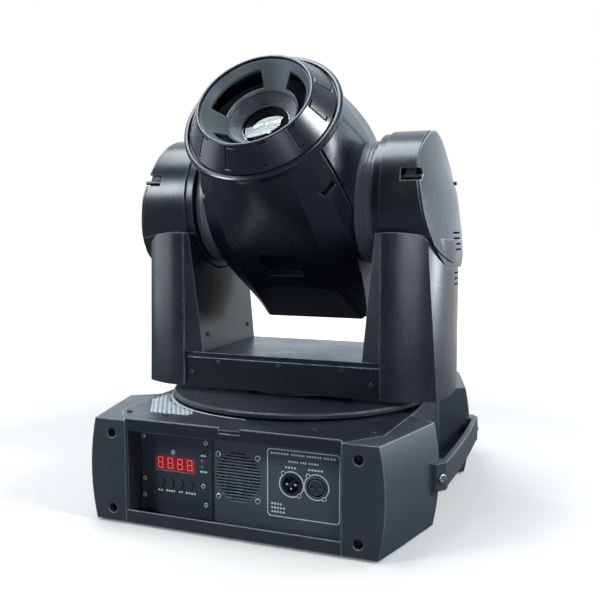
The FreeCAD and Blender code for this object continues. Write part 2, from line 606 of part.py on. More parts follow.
def base_screws():
    screws = []
    for side in (LEFT, RIGHT):
        for end in (-1, 1):
            seat_y = end * (HALF_DEPTH - CAP_SEAT)
            for z in CAP_HOLE_Z:
                screws.append(pan_head_screw(side * CAP_HOLE_X, seat_y, z, Y_AXIS * end, 4.2, 3.0,
                                             CAP_SHANK_R, CAP_BOSS_L - CAP_SEAT))
    for x, y in TOP_SCREWS:
        screws.append(pan_head_screw(x, y, BASE_TOP, Z_AXIS, 3.4, 1.6, TOP_SCREW_R, SHEET))
    front = Y_AXIS * -1
    for x, z in PLATE_SCREWS:
        screws.append(pan_head_screw(x, PLATE_Y0, z, front, 2.6, 1.2, SMALL_SCREW_R, PLATE_T))
    for x, z in SOCKET_SCREWS:
        screws.append(pan_head_screw(x, -PANEL_Y, z, front, 2.8, 1.2, SMALL_SCREW_R, 2 * SHEET))
    for x, z in fan_screw_places():
        screws.append(pan_head_screw(x, -PANEL_Y, z, front, 3.4, 1.6, SMALL_SCREW_R, 8))
    return group(screws)


# ---- yoke ----
def turntable_disc():
    ring = revolve([(CABLE_BORE_R, DISC_Z0), (DISC_R - 1.5, DISC_Z0), (DISC_R, DISC_Z0 + 1.5),
                    (DISC_R, DISC_Z1 - 1.5), (DISC_R - 1.5, DISC_Z1), (72, DISC_Z1), (70, YOKE_Z0),
                    (CABLE_BORE_R, YOKE_Z0)])
    return ring


def pan_shaft():
    """Hollow shaft with the pan pulley, a top flange and a retaining collar."""
    barrel = cyl(PAN_SHAFT_R, (0, 0, 46), Z_AXIS, DISC_Z0 - 46)
    flange = cyl(46, (0, 0, DISC_Z0 - 5), Z_AXIS, 5)
    collar = cyl(PAN_SHAFT_R + 4, (0, 0, 46), Z_AXIS, 4.5)
    wheel = pulley(PAN_PULLEY_R, 9.0, 3.0)
    wheel.translate(V(0, 0, PAN_BELT_Z - 4.5))
    shaft = union([barrel, flange, collar, wheel])
    return shaft.cut(cyl(CABLE_BORE_R, (0, 0, 40), Z_AXIS, 100))


def yoke_crossbar():
    """A closed sheet-metal box between the arms, with a rolled lip along its top edges."""
    outer = box(-CROSSBAR_X, CROSSBAR_X, -CROSSBAR_Y, CROSSBAR_Y, YOKE_Z0, CROSSBAR_TOP)
    inner = box(-CROSSBAR_X + WALL, CROSSBAR_X - WALL, -CROSSBAR_Y + SHEET, CROSSBAR_Y - SHEET,
                YOKE_Z0 + WALL, CROSSBAR_TOP - SHEET)
    bar = outer.cut(inner)
    cuts = [cyl(CABLE_BORE_R, (0, 0, YOKE_Z0 - 1), Z_AXIS, 6)]
    lip_z = CROSSBAR_TOP - 5.5
    for y in (-CROSSBAR_Y - 1, CROSSBAR_Y - 1):
        cuts.append(box(-CROSSBAR_X, CROSSBAR_X, y, y + 2, lip_z - 1.4, lip_z))
    for x, z in CROSSBAR_SCREWS:
        cuts.append(cyl(SMALL_SCREW_R, (x, -CROSSBAR_Y - 1, z), Y_AXIS, 4))
        cuts.append(cyl(SMALL_SCREW_R, (x, CROSSBAR_Y - 3, z), Y_AXIS, 4))
    return bar.cut(group(cuts))


def arm_section(inset, z, front_corner, rear_corner):
    """Horizontal outline of the right arm: bevels, bowed front and rear, bowed outer face."""
    front = ARM_FRONT_Y - inset
    in_x = 90.0
    in_y = front - (BEVEL_X - in_x) * BEVEL_SLOPE
    bevel_front, bevel_rear = V(BEVEL_X, -front, z), V(BEVEL_X, front, z)
    inner_front, inner_rear = V(in_x, -in_y, z), V(in_x, in_y, z)
    corners, bows = [], []
    for x, y in (front_corner, rear_corner):
        side = 1 if y > 0 else -1
        corners.append(V(x - inset * 0.8, y - side * inset * 0.8, z))
        bows.append(V((BEVEL_X + x) / 2, side * (front + (abs(y) - ARM_FRONT_Y) * 0.22), z))
    outermost = V(ARM_OUT_X + 1 - inset, 0, z)
    edges = [Part.makeLine(inner_front, bevel_front),
             Part.Arc(bevel_front, bows[0], corners[0]).toShape(),
             Part.Arc(corners[0], outermost, corners[1]).toShape(),
             Part.Arc(corners[1], bows[1], bevel_rear).toShape(),
             Part.makeLine(bevel_rear, inner_rear),
             Part.makeLine(inner_rear, inner_front)]
    return Part.Wire(edges)


def arm_column(inset):
    sections = [arm_section(inset, z, front, rear) for z, front, rear in ARM_CORNERS]
    return Part.makeLoft(sections, True, True)


# The outer caps lean: their rear is further out than their front by this much per millimetre.


def outer_side(inset):
    """Everything inside the domed outer face of the drum."""
    wires = []
    for y in (-100, -50, 0, 50, 100):
        shift = CAP_SKEW * y - CAP_BOW * y * y - inset
        curve = Part.BSplineCurve()
        curve.interpolate([V(x + shift, y, z) for x, z in OUTER_CURVE])
        (x_low, z_low), (x_top, z_top) = OUTER_CURVE[0], OUTER_CURVE[-1]
        first, last = V(x_low + shift, y, z_low), V(x_top + shift, y, z_top)
        low, top = V(x_low + shift, y, 240), V(x_top + shift, y, 490)
        inner_low, inner_top = V(90, y, 240), V(90, y, 490)
        edges = [Part.makeLine(low, first), curve.toShape(), Part.makeLine(last, top),
                 Part.makeLine(top, inner_top), Part.makeLine(inner_top, inner_low),
                 Part.makeLine(inner_low, low)]
        wires.append(Part.Wire(edges))
    return Part.makeLoft(wires, True, False)


def split_curve(rise):
    """The line between the arm cover and the drum cover, as an arc in the XZ plane."""
    ends = (V(90, -130, 332 + rise), V(230, -130, 320 + rise))
    return Part.Arc(ends[0], V(150, -130, 341 + rise), ends[1]).toShape()


def below_split(rise):
    arc = split_curve(rise)
    a, b = V(90, -130, 332 + rise), V(230, -130, 320 + rise)
    c, d = V(230, -130, 100), V(90, -130, 100)
    edges = [arc, Part.makeLine(b, c), Part.makeLine(c, d), Part.makeLine(d, a)]
    return Part.Face(Part.Wire(edges)).extrude(V(0, 260, 0))


def panel_region(shift):
    """The space outside the seam of the arm's outer side panel."""
    y0, depth = -130, 260
    offset = shift + CAP_SKEW * y0
    points = [V(x + offset, y0, z) for x, z in PANEL_CURVE]
    curve = Part.BSplineCurve()
    curve.interpolate(points)
    top = V(points[0].x, y0, 490)
    far_top, far_low = V(240, y0, 490), V(240, y0, points[-1].z)
    edges = [Part.makeLine(top, points[0]), curve.toShape(), Part.makeLine(points[-1], far_low),
             Part.makeLine(far_low, far_top), Part.makeLine(far_top, top)]
    return Part.Face(Part.Wire(edges)).extrude(V(CAP_SKEW * depth, depth, 0))


def arm_envelope(inset):
    floor, top = YOKE_Z0 + inset, 345
    inner = prism([(ARM_IN_X + inset, -120, floor), (230, -120, floor), (230, -120, top),
                   (ARM_IN_TOP_X + inset, -120, top)], V(0, 240, 0))
    return arm_column(inset).common(inner).common(below_split(-inset))


def drum_envelope(inset):
    drum = cyl(DRUM_R - inset, (DRUM_IN_X + inset, 0, TILT_Z), X_AXIS, 120)
    step_x = 130.0
    collar = tube(DRUM_R + 5, DRUM_R - 2.6 - inset, (100, 0, TILT_Z), X_AXIS, step_x - 100)
    flat = box(DRUM_FLAT_X, 240, -100, 100, 250, DRUM_FLAT_Z + inset)
    return drum.common(outer_side(inset)).cut(collar).cut(flat)


def clip_shift(end):
    """How far the rear clip moves outwards, because the arm's outer side is skewed."""
    return (end + 1) * CAP_SKEW * CLIP_Y * 1.25


def arm_pieces():
    """Right arm cover, drum cover and side panel, as shells that meet at grooved seams."""
    arm_solid, drum_solid = arm_envelope(0), drum_envelope(0)
    arm_core, drum_core = arm_envelope(WALL), drum_envelope(WALL)
    region = panel_region(0)
    body = arm_solid.fuse(drum_solid)
    core = arm_core.fuse(drum_core)
    skin = body.cut(core)
    groove_core = arm_envelope(GROOVE_DEPTH).fuse(drum_envelope(GROOVE_DEPTH))
    panel_seam = region.cut(panel_region(GROOVE)).cut(groove_core)
    split_seam = below_split(GROOVE).cut(below_split(0)).cut(groove_core)

    panel = skin.common(region).cut(panel_seam)
    louvres = [box(190, 230, -2, 40, z, z + 2.6) for z in (318, 325, 332, 339)]
    panel = panel.cut(group(louvres))

    clip_pocket = group([box(CLIP_X0 + clip_shift(s), CLIP_X1 + clip_shift(s), s * 84 - 12, s * 84 + 12,
                             CLIP_Z0, CLIP_Z1) for s in (-1, 1)])
    inner_disc = box(100, DRUM_IN_X + WALL, -130, 130, 200, 500)
    drum = drum_solid.cut(drum_core).cut(region)
    shaft_hole = cyl(TILT_SHAFT_R + 3, (100, 0, TILT_Z), X_AXIS, 30)
    belt_gap = box(128, 168, -62.5, 62.5, 280, TILT_Z - 60)
    drum = drum.cut(shaft_hole).cut(belt_gap).cut(clip_pocket).cut(split_seam.cut(inner_disc))
    panel = panel.cut(clip_pocket)

    drum_space = cyl(DRUM_R, (100, 0, TILT_Z), X_AXIS, 130)
    drum_space = drum_space.cut(box(DRUM_FLAT_X, 240, -100, 100, 250, DRUM_FLAT_Z))
    front_seam = box(BEVEL_X - GROOVE / 2, BEVEL_X + GROOVE / 2, -130, 130, YOKE_Z0, 345)
    front_seam = front_seam.cut(groove_core)
    arm = arm_solid.cut(arm_core).cut(drum_space).cut(region).cut(front_seam)
    arm = arm.cut(box(100, CROSSBAR_X, -130, 130, YOKE_Z0 - 1, CROSSBAR_TOP))
    side_vents = [box(190, 230, -8, 34, z, z + 2.6) for z in (275, 282, 289)]
    arm = arm.cut(group(side_vents))
    arm = arm.cut(box(100, 230, -12, 12, YOKE_Z0 - 1, YOKE_Z0 + 1))
    holes = [cyl(SMALL_SCREW_R, (100, y, z), X_AXIS, 30) for y, z in ARM_SCREWS]
    return arm.cut(group(holes)), drum, panel


def arm_frame():
    """The arm's load-bearing plate, from the crossbar up to the tilt bearing."""
    plate = union([box(FRAME_X0, FRAME_X1, -62, 62, YOKE_Z0 + WALL, 330),
                   cyl(62, (FRAME_X0, 0, TILT_Z), X_AXIS, FRAME_X1 - FRAME_X0),
                   prism([(FRAME_X0, -62, 320), (FRAME_X0, 62, 320), (FRAME_X0, 60, TILT_Z),
                          (FRAME_X0, -60, TILT_Z)], V(FRAME_X1 - FRAME_X0, 0, 0))])
    bearing = cyl(38, (DRUM_IN_X + WALL, 0, TILT_Z), X_AXIS, FRAME_X0 - DRUM_IN_X - WALL)
    foot = box(FRAME_X1, FRAME_X1 + 30, -50, 50, YOKE_Z0 + WALL, YOKE_Z0 + 2 * WALL)
    frame = union([plate, bearing, foot])
    bore = cyl(TILT_SHAFT_R + RUNNING_GAP, (100, 0, TILT_Z), X_AXIS, 60)
    motor_hole = cyl(6, (100, 0, TILT_MOTOR_Z), X_AXIS, 60)
    window = box(100, 160, -30, 30, 275, 315)
    return frame.cut(bore).cut(motor_hole).cut(window)


def tilt_motor():
    """Stepper motor behind the right arm's frame, with its shaft towards the outside."""
    x0, depth = FRAME_X1, 8.0
    z0, z1 = TILT_MOTOR_Z - MOTOR_HALF, TILT_MOTOR_Z + MOTOR_HALF
    plate = box(x0, x0 + depth, -MOTOR_HALF, MOTOR_HALF, z0, z1)
    body = box(x0 + 22, x0 + 62, -MOTOR_HALF, MOTOR_HALF, z0, z1)
    posts = [cyl(3, (x0 + depth, s * 24, TILT_MOTOR_Z + t * 24), X_AXIS, 22 - depth)
             for s in (-1, 1) for t in (-1, 1)]
    motor = union([plate, body] + posts)
    return motor.cut(cyl(3 + RUNNING_GAP, (x0, 0, TILT_MOTOR_Z), X_AXIS, 40))


def tilt_motor_pulley():
    wheel = pulley(TILT_MOTOR_PULLEY_R, 7.0, 2.0)
    wheel.rotate(V(0, 0, 0), Y_AXIS, 90)
    wheel.translate(V(TILT_BELT_X - 3.5, 0, TILT_MOTOR_Z))
    return wheel.fuse(cyl(3, (FRAME_X1 + 1, 0, TILT_MOTOR_Z), X_AXIS, 38))


def tilt_belt():
    band = belt(TILT_PULLEY_R, TILT_MOTOR_PULLEY_R, TILT_Z - TILT_MOTOR_Z, 5.0, 1.4)
    band.rotate(V(0, 0, 0), Y_AXIS, 90)
    band.translate(V(TILT_BELT_X - 2.5, 0, TILT_Z))
    return band


def yoke_fasteners():
    """Crossbar screws, inner arm screws and the clips that hold the drum covers."""
    pieces = []
    for x, z in CROSSBAR_SCREWS:
        for end in (-1, 1):
            pieces.append(pan_head_screw(x, end * CROSSBAR_Y, z, Y_AXIS * end,
                                         3.2, 1.8, SMALL_SCREW_R, SHEET))
    slope = (ARM_IN_TOP_X - ARM_IN_X) / (345 - YOKE_Z0)
    for side in (LEFT, RIGHT):
        for y, z in ARM_SCREWS:
            face_x = ARM_IN_X + (z - YOKE_Z0) * slope - 0.15
            screw = pan_head_screw(face_x, y, z, X_AXIS * -1, 3.2, 1.6, SMALL_SCREW_R - 0.1, WALL)
            screw = screw.cut(RIGHT_ARM[0])
            pieces.append(turned(screw, side))
        for end in (-1, 1):
            y0, y1 = sorted((end * 74.0, end * 76.0))
            dx = clip_shift(end)
            pin = cyl(2.6, (CLIP_X0 + dx, end * 77.0, CLIP_Z0 + 4.5), X_AXIS, CLIP_X1 - CLIP_X0)
            tongue = box(CLIP_X0 + 5 + dx, CLIP_X1 - 8 + dx, y0, y1, CLIP_Z0 + 4.5, CLIP_Z1)
            pieces.append(turned(union([pin, tongue]), side))
    return group(pieces)


# ---- head, built with its optical axis along +Z and +Y towards the upper shell ----
def to_place(shape):
    placed = shape.copy()
    placed.rotate(V(0, 0, 0), X_AXIS, HEAD_FROM_VERTICAL)
    placed.translate(V(0, 0, TILT_Z))
    return placed


# station along the optical axis: flat half-width and height, crown height,
# lower crease x and y, side crease x and y, side crown


def head_wire(station, inset):
    d, ax, ay, crown, bx, by, cx, cy, side = station
    ax, ay, crown = ax - inset * 0.5, ay - inset, crown - inset
    bx, by, cx, cy, side = bx - inset * 0.8, by - inset * 0.7, cx - inset, cy - inset * 0.3, side - inset
    corners = [(-ax, -ay), (ax, -ay), (bx, -by), (cx, -cy), (cx, cy), (bx, by),
               (ax, ay), (-ax, ay), (-bx, by), (-cx, cy), (-cx, -cy), (-bx, -by)]
    bows = {0: (0, -crown), 3: (side, 0), 6: (0, crown), 9: (-side, 0)}
    edges = []
    for i, (x, y) in enumerate(corners):
        start, end = V(x, y, d), V(*corners[(i + 1) % len(corners)], d)
        if i in bows:
            edges.append(Part.Arc(start, V(*bows[i], d), end).toShape())
        else:
            edges.append(Part.makeLine(start, end))
    return Part.Wire(edges)


def head_solid(inset):
    """The head's outer form, or the same form inset, with its flat rear facets."""
    body = Part.makeLoft([head_wire(s, inset) for s in HEAD_SECTIONS], True, False)
    reach = 160.0
    slope = (CREASE_Y - REAR_EDGE_Y) / (REAR_CREASE_D - HEAD_REAR_D)
    for side in (-1, 1):
        y_front = side * (CREASE_Y - inset + slope * (reach - REAR_CREASE_D))
        y_rear = side * (CREASE_Y - inset - slope * (REAR_CREASE_D + reach))
        far = side * 400
        wedge = prism([(-150, y_front, reach), (-150, y_rear, -reach), (-150, far, -reach),
                       (-150, far, reach)], V(300, 0, 0))
        body = body.cut(wedge)
    return body


def below_head_seam(offset):
    """The space under the line between the head's lower and upper shells."""
    front_y = -(SEAM_FRONT - offset)
    mid_y = -(SEAM_MID - offset)
    return prism([(-150, front_y, 160), (-150, mid_y, SEAM_MID_D), (-150, mid_y, -160),
                  (-150, -200, -160), (-150, -200, 160)], V(300, 0, 0))


def head_shells():
    outer, inner = head_solid(0), head_solid(WALL)
    inner_open = union([inner, HEAD_MOUTH])
    shell = outer.cut(inner_open)
    shell = shell.cut(cyl(HUB_BOSS_R + 1, (-120, 0, 0), X_AXIS, 240))
    lower_zone = below_head_seam(0)
    lower = shell.common(lower_zone)
    gap = below_head_seam(SEAM_GAP).cut(head_solid(SEAM_DEPTH))
    upper = shell.cut(lower_zone).cut(gap)

    pocket = box(-RECESS_HALF, RECESS_HALF, -120, -CREASE_Y + RECESS_DEPTH, RECESS_D0, RECESS_D1)
    pocket_wall = box(-RECESS_HALF - WALL, RECESS_HALF + WALL, -CREASE_Y, -CREASE_Y + RECESS_DEPTH + WALL,
                      RECESS_D0 - WALL, RECESS_D1 + WALL).common(outer)
    lower = union([lower, pocket_wall]).cut(pocket)

    latch_cut = box(LATCH_X - 9, LATCH_X + 9, LATCH_Y0, LATCH_Y1, LATCH_D0, LATCH_D1)
    lower = lower.cut(group([latch_cut, mirror_x(latch_cut)]))

    ribs = []
    for offset in (0, 4.0):
        rib = prism([(-150, 4 + offset, 156), (-150, 5.2 + offset, 156), (-150, 49.2 + offset, 40),
                     (-150, 48 + offset, 40)], V(300, 0, 0))
        ribs.append(rib.cut(head_solid(0.9)))
    return lower, upper.cut(group(ribs))


def flange_ring():
    return revolve([(84, FLANGE_D0), (FLANGE_R - 2.5, FLANGE_D0), (FLANGE_R, FLANGE_D0 + 2.5),
                    (FLANGE_R, FLANGE_D1 - 2.5), (FLANGE_R - 0.8, FLANGE_D1 - 0.8),
                    (FLANGE_R - 2.5, FLANGE_D1),
                    (BEZEL_R0 + 2.5, FLANGE_D1), (BEZEL_R0 + 1.2, FLANGE_D1 - 3), (84, FLANGE_D1 - 3)])


def wedge(angle, z0, height, reach=200):
    """A thin sector of a disc, from the X axis round to the angle in radians."""
    far = (reach * math.cos(angle), reach * math.sin(angle), z0)
    return prism([(0, 0, z0), (reach, 0, z0), far], V(0, 0, height))


def front_bezel():
    base_d = FLANGE_D1 - 3
    slope = (BEZEL_R0 - BEZEL_R1) / (RIM_D - FLANGE_D1)
    base_r = BEZEL_R0
    bezel = revolve([(base_r - 3, base_d), (base_r, base_d), (base_r, FLANGE_D1),
                     (BEZEL_R1 + 0.8, RIM_D - 1), (BEZEL_R1 - 0.6, RIM_D), (RIM_IN_R + 0.8, RIM_D),
                     (RIM_IN_R, RIM_D - 0.8), (RIM_IN_R, RIM_D - 3.5), (base_r - 3, FLANGE_D1 - 1)])
    cuts = []
    count, width, depth = 12, 2.0, 1.8
    hook_angle, foot_angle = 0.14, 0.07
    for i in range(count):
        angle = i * 360 / count + 17.5
        top, low = RIM_D - 1.8, FLANGE_D1 + 3.5
        r_top, r_low = BEZEL_R1 + slope * (RIM_D - top), BEZEL_R1 + slope * (RIM_D - low)
        line = prism([(r_top - depth, -width / 2, top), (r_low - depth, -width / 2, low),
                      (r_low + 3, -width / 2, low), (r_top + 3, -width / 2, top)], V(0, width, 0))
        hook = revolve([(r_top - depth, top - width), (r_top + 3, top - width), (r_top + 3, top),
                        (r_top - depth, top)])
        hook = hook.common(wedge(hook_angle, top - 3, 6))
        foot = revolve([(r_low - depth, low), (r_low + 3, low), (r_low + 3, low + width),
                        (r_low - depth, low + width)])
        foot = foot.common(wedge(foot_angle, low - 1, 5))
        for piece in (line, hook, foot):
            piece.rotate(V(0, 0, 0), Z_AXIS, angle)
            cuts.append(piece)
    return bezel.cut(group(cuts))


def lens_dish():
    """A conical ring inside the bezel, with three windows between three spokes."""
    top_d, low_d = RIM_D - 3.5, TUBE_D
    dish = revolve([(TUBE_R, low_d), (TUBE_R, low_d - DISH_T), (TUBE_R + 2, low_d - DISH_T),
                    (RIM_IN_R, top_d - DISH_T - 1), (RIM_IN_R + 0.8, top_d - 1), (RIM_IN_R, top_d),
                    (RIM_IN_R - 1, top_d)])
    ring = tube(WINDOW_R1, WINDOW_R0, (0, 0, low_d - 20), Z_AXIS, 60)
    windows = []
    for angle in SPOKE_ANGLES:
        a = math.radians(angle + SPOKE_HALF_DEG)
        b = math.radians(angle + 60)
        c = math.radians(angle + 120 - SPOKE_HALF_DEG)
        reach = 140.0
        sector = prism([(0, 0, low_d - 20), (reach * math.cos(a), reach * math.sin(a), low_d - 20),
                        (reach * math.cos(b), reach * math.sin(b), low_d - 20),
                        (reach * math.cos(c), reach * math.sin(c), low_d - 20)], V(0, 0, 60))
        windows.append(ring.common(sector))
    return dish.cut(group(windows))


def lens_baffle():
    """Stepped tube between the dish and the front lens."""
    steps = 8
    d0, d1 = CHASSIS_RING_D1, TUBE_D - DISH_T
    profile = [(LENS_SEAT_R, d0), (TUBE_R + 2, d0), (TUBE_R + 2, d1), (TUBE_R - 0.6, d1)]
    r_top = TUBE_R - 0.6
    r_step = (r_top - LENS_SEAT_R) / steps
    d_step = (d1 - d0 - 1.5) / steps
    for i in range(steps):
        r, d = r_top - r_step * i, d1 - d_step * (i + 1)
        profile.append((r, d))
        profile.append((r - r_step, d))
    return revolve(profile)


def front_lens():
    """Plano-convex lens held in the chassis ring, its dome towards the front."""
    seat_d, sag = CHASSIS_RING_D1, 5.0
    disc = cyl(LENS_R, (0, 0, CHASSIS_RING_D0 - 4), Z_AXIS, seat_d - CHASSIS_RING_D0 + 4)
    dome_r = LENS_SEAT_R - 1
    ball_r = (dome_r ** 2 + sag ** 2) / (2 * sag)
    ball = Part.makeSphere(ball_r, V(0, 0, seat_d + sag - ball_r))
    dome = ball.common(cyl(dome_r, (0, 0, seat_d), Z_AXIS, sag + 1))
    return union([disc, dome])


HEAD_MOUTH = cyl(84, (0, 0, 120), Z_AXIS, 60)


def head_chassis():
    """Side plates, bulkheads, lens ring, wheel plate and the two focus rails."""
    pieces = []
    for side in (-1, 1):
        x0, x1 = sorted((side * SIDE_PLATE_X0, side * SIDE_PLATE_X1))
        pieces.append(box(x0, x1, -26, 26, -110, CHASSIS_RING_D1))
        pieces.append(cyl(46, (x0, 0, 0), X_AXIS, x1 - x0))
        boss_x = side * SIDE_PLATE_X1 if side == RIGHT else -HUB_JOIN_X
        pieces.append(cyl(HUB_BOSS_R, (boss_x, 0, 0), X_AXIS, HUB_JOIN_X - SIDE_PLATE_X1))
    pieces.append(cyl(76, (0, 0, CHASSIS_RING_D0), Z_AXIS, CHASSIS_RING_D1 - CHASSIS_RING_D0))
    for z, half_y in ((60.0, 62.0), (REAR_PLATE_D, 62.0)):
        pieces.append(box(-SIDE_PLATE_X1, SIDE_PLATE_X1, -half_y, half_y, z, z + 3))
    pieces.append(box(-SIDE_PLATE_X1, SIDE_PLATE_X1, -45, 45, -2, 0))
    pieces.append(box(-20, 20, 40, 70, -2, 0))
    body = union(pieces)
    bores = [cyl(LENS_R, (0, 0, 140), Z_AXIS, 20), cyl(36, (0, 0, 50), Z_AXIS, 20),
             cyl(44, (0, 0, REAR_PLATE_D - 2), Z_AXIS, 8), cyl(18, (0, 0, -5), Z_AXIS, 8)]
    body = body.cut(union(bores))
    rails = [cyl(PIN_R, (s * 50, 0, 62), Z_AXIS, CHASSIS_RING_D0 - 61) for s in (-1, 1)]
    pin = cyl(PIN_R, (0, WHEEL_AXIS_Y, -14), Z_AXIS, 27)
    caps = [cyl(PIN_R + 2, (0, WHEEL_AXIS_Y, z), Z_AXIS, 1.5) for z in (-15.5, 13)]
    return union([body] + rails + [pin] + caps)


def filter_wheel(z0, thickness, holes, hole_r, teeth):
    """A disc with a ring of openings that turns on the chassis's wheel pin."""
    disc = cyl(WHEEL_R, (0, 0, 0), Z_AXIS, thickness)
    hub = cyl(8, (0, 0, -1.5), Z_AXIS, thickness + 3)
    cuts = [cyl(PIN_R + RUNNING_GAP, (0, 0, -5), Z_AXIS, 20)]
    for i in range(holes):
        angle = 2 * math.pi * i / holes - math.pi / 2
        centre = (WHEEL_AXIS_Y * math.cos(angle), WHEEL_AXIS_Y * math.sin(angle), -5)
        cuts.append(cyl(hole_r, centre, Z_AXIS, 20))
    for i in range(teeth):
        angle = 2 * math.pi * (i + 0.5) / teeth
        cuts.append(cyl(2.0, (WHEEL_R * math.cos(angle), WHEEL_R * math.sin(angle), -5), Z_AXIS, 20))
    wheel = disc.fuse(hub).cut(group(cuts))
    wheel.translate(V(0, WHEEL_AXIS_Y, z0))
    return wheel


def focus_carriage():
    """Lens carrier on the two rails, with its lens in one piece."""
    plate = box(-60, 60, -14, 14, FOCUS_D, FOCUS_D + 8)
    ring = cyl(38, (0, 0, FOCUS_D), Z_AXIS, 8)
    carrier = union([plate, ring])
    cuts = [cyl(PIN_R + RUNNING_GAP, (s * 50, 0, FOCUS_D - 1), Z_AXIS, 10) for s in (-1, 1)]
    cuts += [cyl(32, (0, 0, FOCUS_D + 5), Z_AXIS, 5), cyl(32, (0, 0, FOCUS_D - 2), Z_AXIS, 5)]
    return carrier.cut(group(cuts))


def lamp_module():
    """Light engine: collimator, board and finned heatsink."""
    front = REAR_PLATE_D
    pieces = [tube(40, 30, (0, 0, front), Z_AXIS, 34), cyl(60, (0, 0, front - 6), Z_AXIS, 6),
              cyl(20, (0, 0, front - 50), Z_AXIS, 50)]
    fins, fin_t, fin_l = 18, 2.0, 44.0
    for i in range(fins):
        fin = box(18, 60, -fin_t / 2, fin_t / 2, front - 6 - fin_l, front - 6)
        fin.rotate(V(0, 0, 0), Z_AXIS, 360 * i / fins)
        pieces.append(fin)
    return union(pieces)


def head_rear_grille():
    plate = head_solid(WALL).common(box(-150, 150, -150, 150, HEAD_REAR_D, HEAD_REAR_D + REAR_PLATE_T))
    slots = []
    radius, count = 52.0, 13
    pitch = 2 * radius / count
    for i in range(count):
        dy = (i - (count - 1) / 2) * pitch
        half = math.sqrt(radius ** 2 - dy ** 2) - 2
        for s in (-1, 1):
            x0, x1 = sorted((s * 9.0, s * half))
            if half > 14:
                slots.append(box(x0, x1, dy - 2.2, dy + 2.2, HEAD_REAR_D - 2, HEAD_REAR_D + 6))
    grille = plate.cut(group(slots))
    pin = cyl(2.0, (0, 0, HEAD_REAR_D), Z_AXIS, 18)
    return union([grille, pin])


def head_fan_rotor():
    rotor = fan_rotor(50.0, 18.0, 12.0, 9)
    rotor = rotor.cut(cyl(2.0 + RUNNING_GAP, (0, 0, -1), Z_AXIS, 13))
    rotor.translate(V(0, 0, HEAD_REAR_D + REAR_PLATE_T + 1.2))
    return rotor


def tilt_hub(side):
    """Round shoulder on the head's side with its hollow tilt shaft; the right one carries a pulley."""
    shoulder = cyl(HUB_R, (HUB_JOIN_X, 0, 0), X_AXIS, HUB_X1 - HUB_JOIN_X)
    shoulder = shoulder.cut(HEAD_OUTER)
    boss = cyl(HUB_BOSS_R, (HUB_JOIN_X, 0, 0), X_AXIS, HUB_X1 - HUB_JOIN_X)
    shaft_end = 162.0 if side == RIGHT else 146.0
    shaft = cyl(TILT_SHAFT_R, (HUB_X1 - 1, 0, 0), X_AXIS, shaft_end - HUB_X1 + 1)
    pieces = [shoulder, boss, shaft]
    for x in (102.0, 108.0, 113.0):
        pieces[0] = pieces[0].cut(tube(HUB_R + 2, HUB_R - 0.8, (x, 0, 0), X_AXIS, 0.8))
    if side == RIGHT:
        wheel = pulley(TILT_PULLEY_R, 7.0, 2.5)
        wheel.rotate(V(0, 0, 0), Y_AXIS, 90)
        wheel.translate(V(TILT_BELT_X - 3.5, 0, 0))
        pieces.append(wheel)
    hub = union(pieces).cut(cyl(14, (HUB_JOIN_X - 1, 0, 0), X_AXIS, 100))
    return sided(hub, side)


# ---- write every piece ----
HEAD_OUTER = head_solid(0)
RIGHT_ARM = arm_pieces()
SIDES = (("left", LEFT), ("right", RIGHT))


def write_base():
    export("base_chassis", base_chassis())
    export("base_top_plate", base_top_plate())
    export("front_panel", front_panel())
    export("rear_panel", rear_panel())
    cover, handle = side_cover(), strap_handle()
    bolts = [sided(handle_bolt(end), side) for side in (LEFT, RIGHT) for end in (-1, 1)]
    for word, side in SIDES:
        export("side_cover_" + word, sided(cover, side))
        export("strap_handle_" + word, sided(handle, side))
    export("handle_bolts", group(bolts))
    export("control_panel", control_panel())
    export("display_window", display_window())
    export("display_module", display_module())
    export("data_in_socket", socket(0))
    export("data_out_socket", socket(1))
    export("base_fan_frame", base_fan_frame())
    export("base_fan_rotor", base_fan_rotor())
    export("power_inlet", power_inlet())
    export("safety_cable_eye", safety_cable_eye())
    feet = [cyl(14, (x, y, 0), Z_AXIS, FOOT_H) for x in (-110, 110) for y in (-200, 200)]
    export("rubber_feet", group(feet))
    export("power_supply", power_supply())
    export("control_board", control_board())
    export("pan_bearing_housing", pan_bearing_housing())
    export("pan_motor", pan_motor())
    export("pan_motor_pulley", pan_motor_pulley())
    export("pan_belt", pan_belt())
    export("base_screws", base_screws())
    for number, x in enumerate(BUTTON_X, 1):
        export("menu_button_%d" % number, menu_button(x))


def write_yoke():
    export("turntable_disc", turntable_disc())
    export("pan_shaft", pan_shaft())
    export("yoke_crossbar", yoke_crossbar())
    frame = arm_frame()
    for word, side in SIDES:
        export("arm_frame_" + word, turned(frame, side))
        for name, shape in zip(("arm_cover_", "drum_cover_", "arm_side_panel_"), RIGHT_ARM):
            export(name + word, turned(shape, side))
    export("tilt_motor", tilt_motor())
    export("tilt_motor_pulley", tilt_motor_pulley())
    export("tilt_belt", tilt_belt())
    export("yoke_fasteners", yoke_fasteners())


def write_head():
    lower, upper = head_shells()
    export("head_lower_shell", to_place(lower))
    export("head_upper_shell", to_place(upper))
    export("head_rear_grille", to_place(head_rear_grille()))
    export("head_fan_rotor", to_place(head_fan_rotor()))
    export("flange_ring", to_place(flange_ring()))
    export("front_bezel", to_place(front_bezel()))
    export("lens_dish", to_place(lens_dish()))
    export("lens_baffle", to_place(lens_baffle()))
    export("front_lens", to_place(front_lens()))
    export("head_chassis", to_place(head_chassis()))
    export("color_wheel", to_place(filter_wheel(-8.0, 2.0, 7, 13.0, 0)))
    export("gobo_wheel", to_place(filter_wheel(4.0, 3.0, 6, 11.0, 36)))
    export("focus_carriage", to_place(focus_carriage()))
    export("lamp_module", to_place(lamp_module()))
    export("tilt_hubs", to_place(group([tilt_hub(LEFT), tilt_hub(RIGHT)])))


write_base()
write_yoke()
write_head()
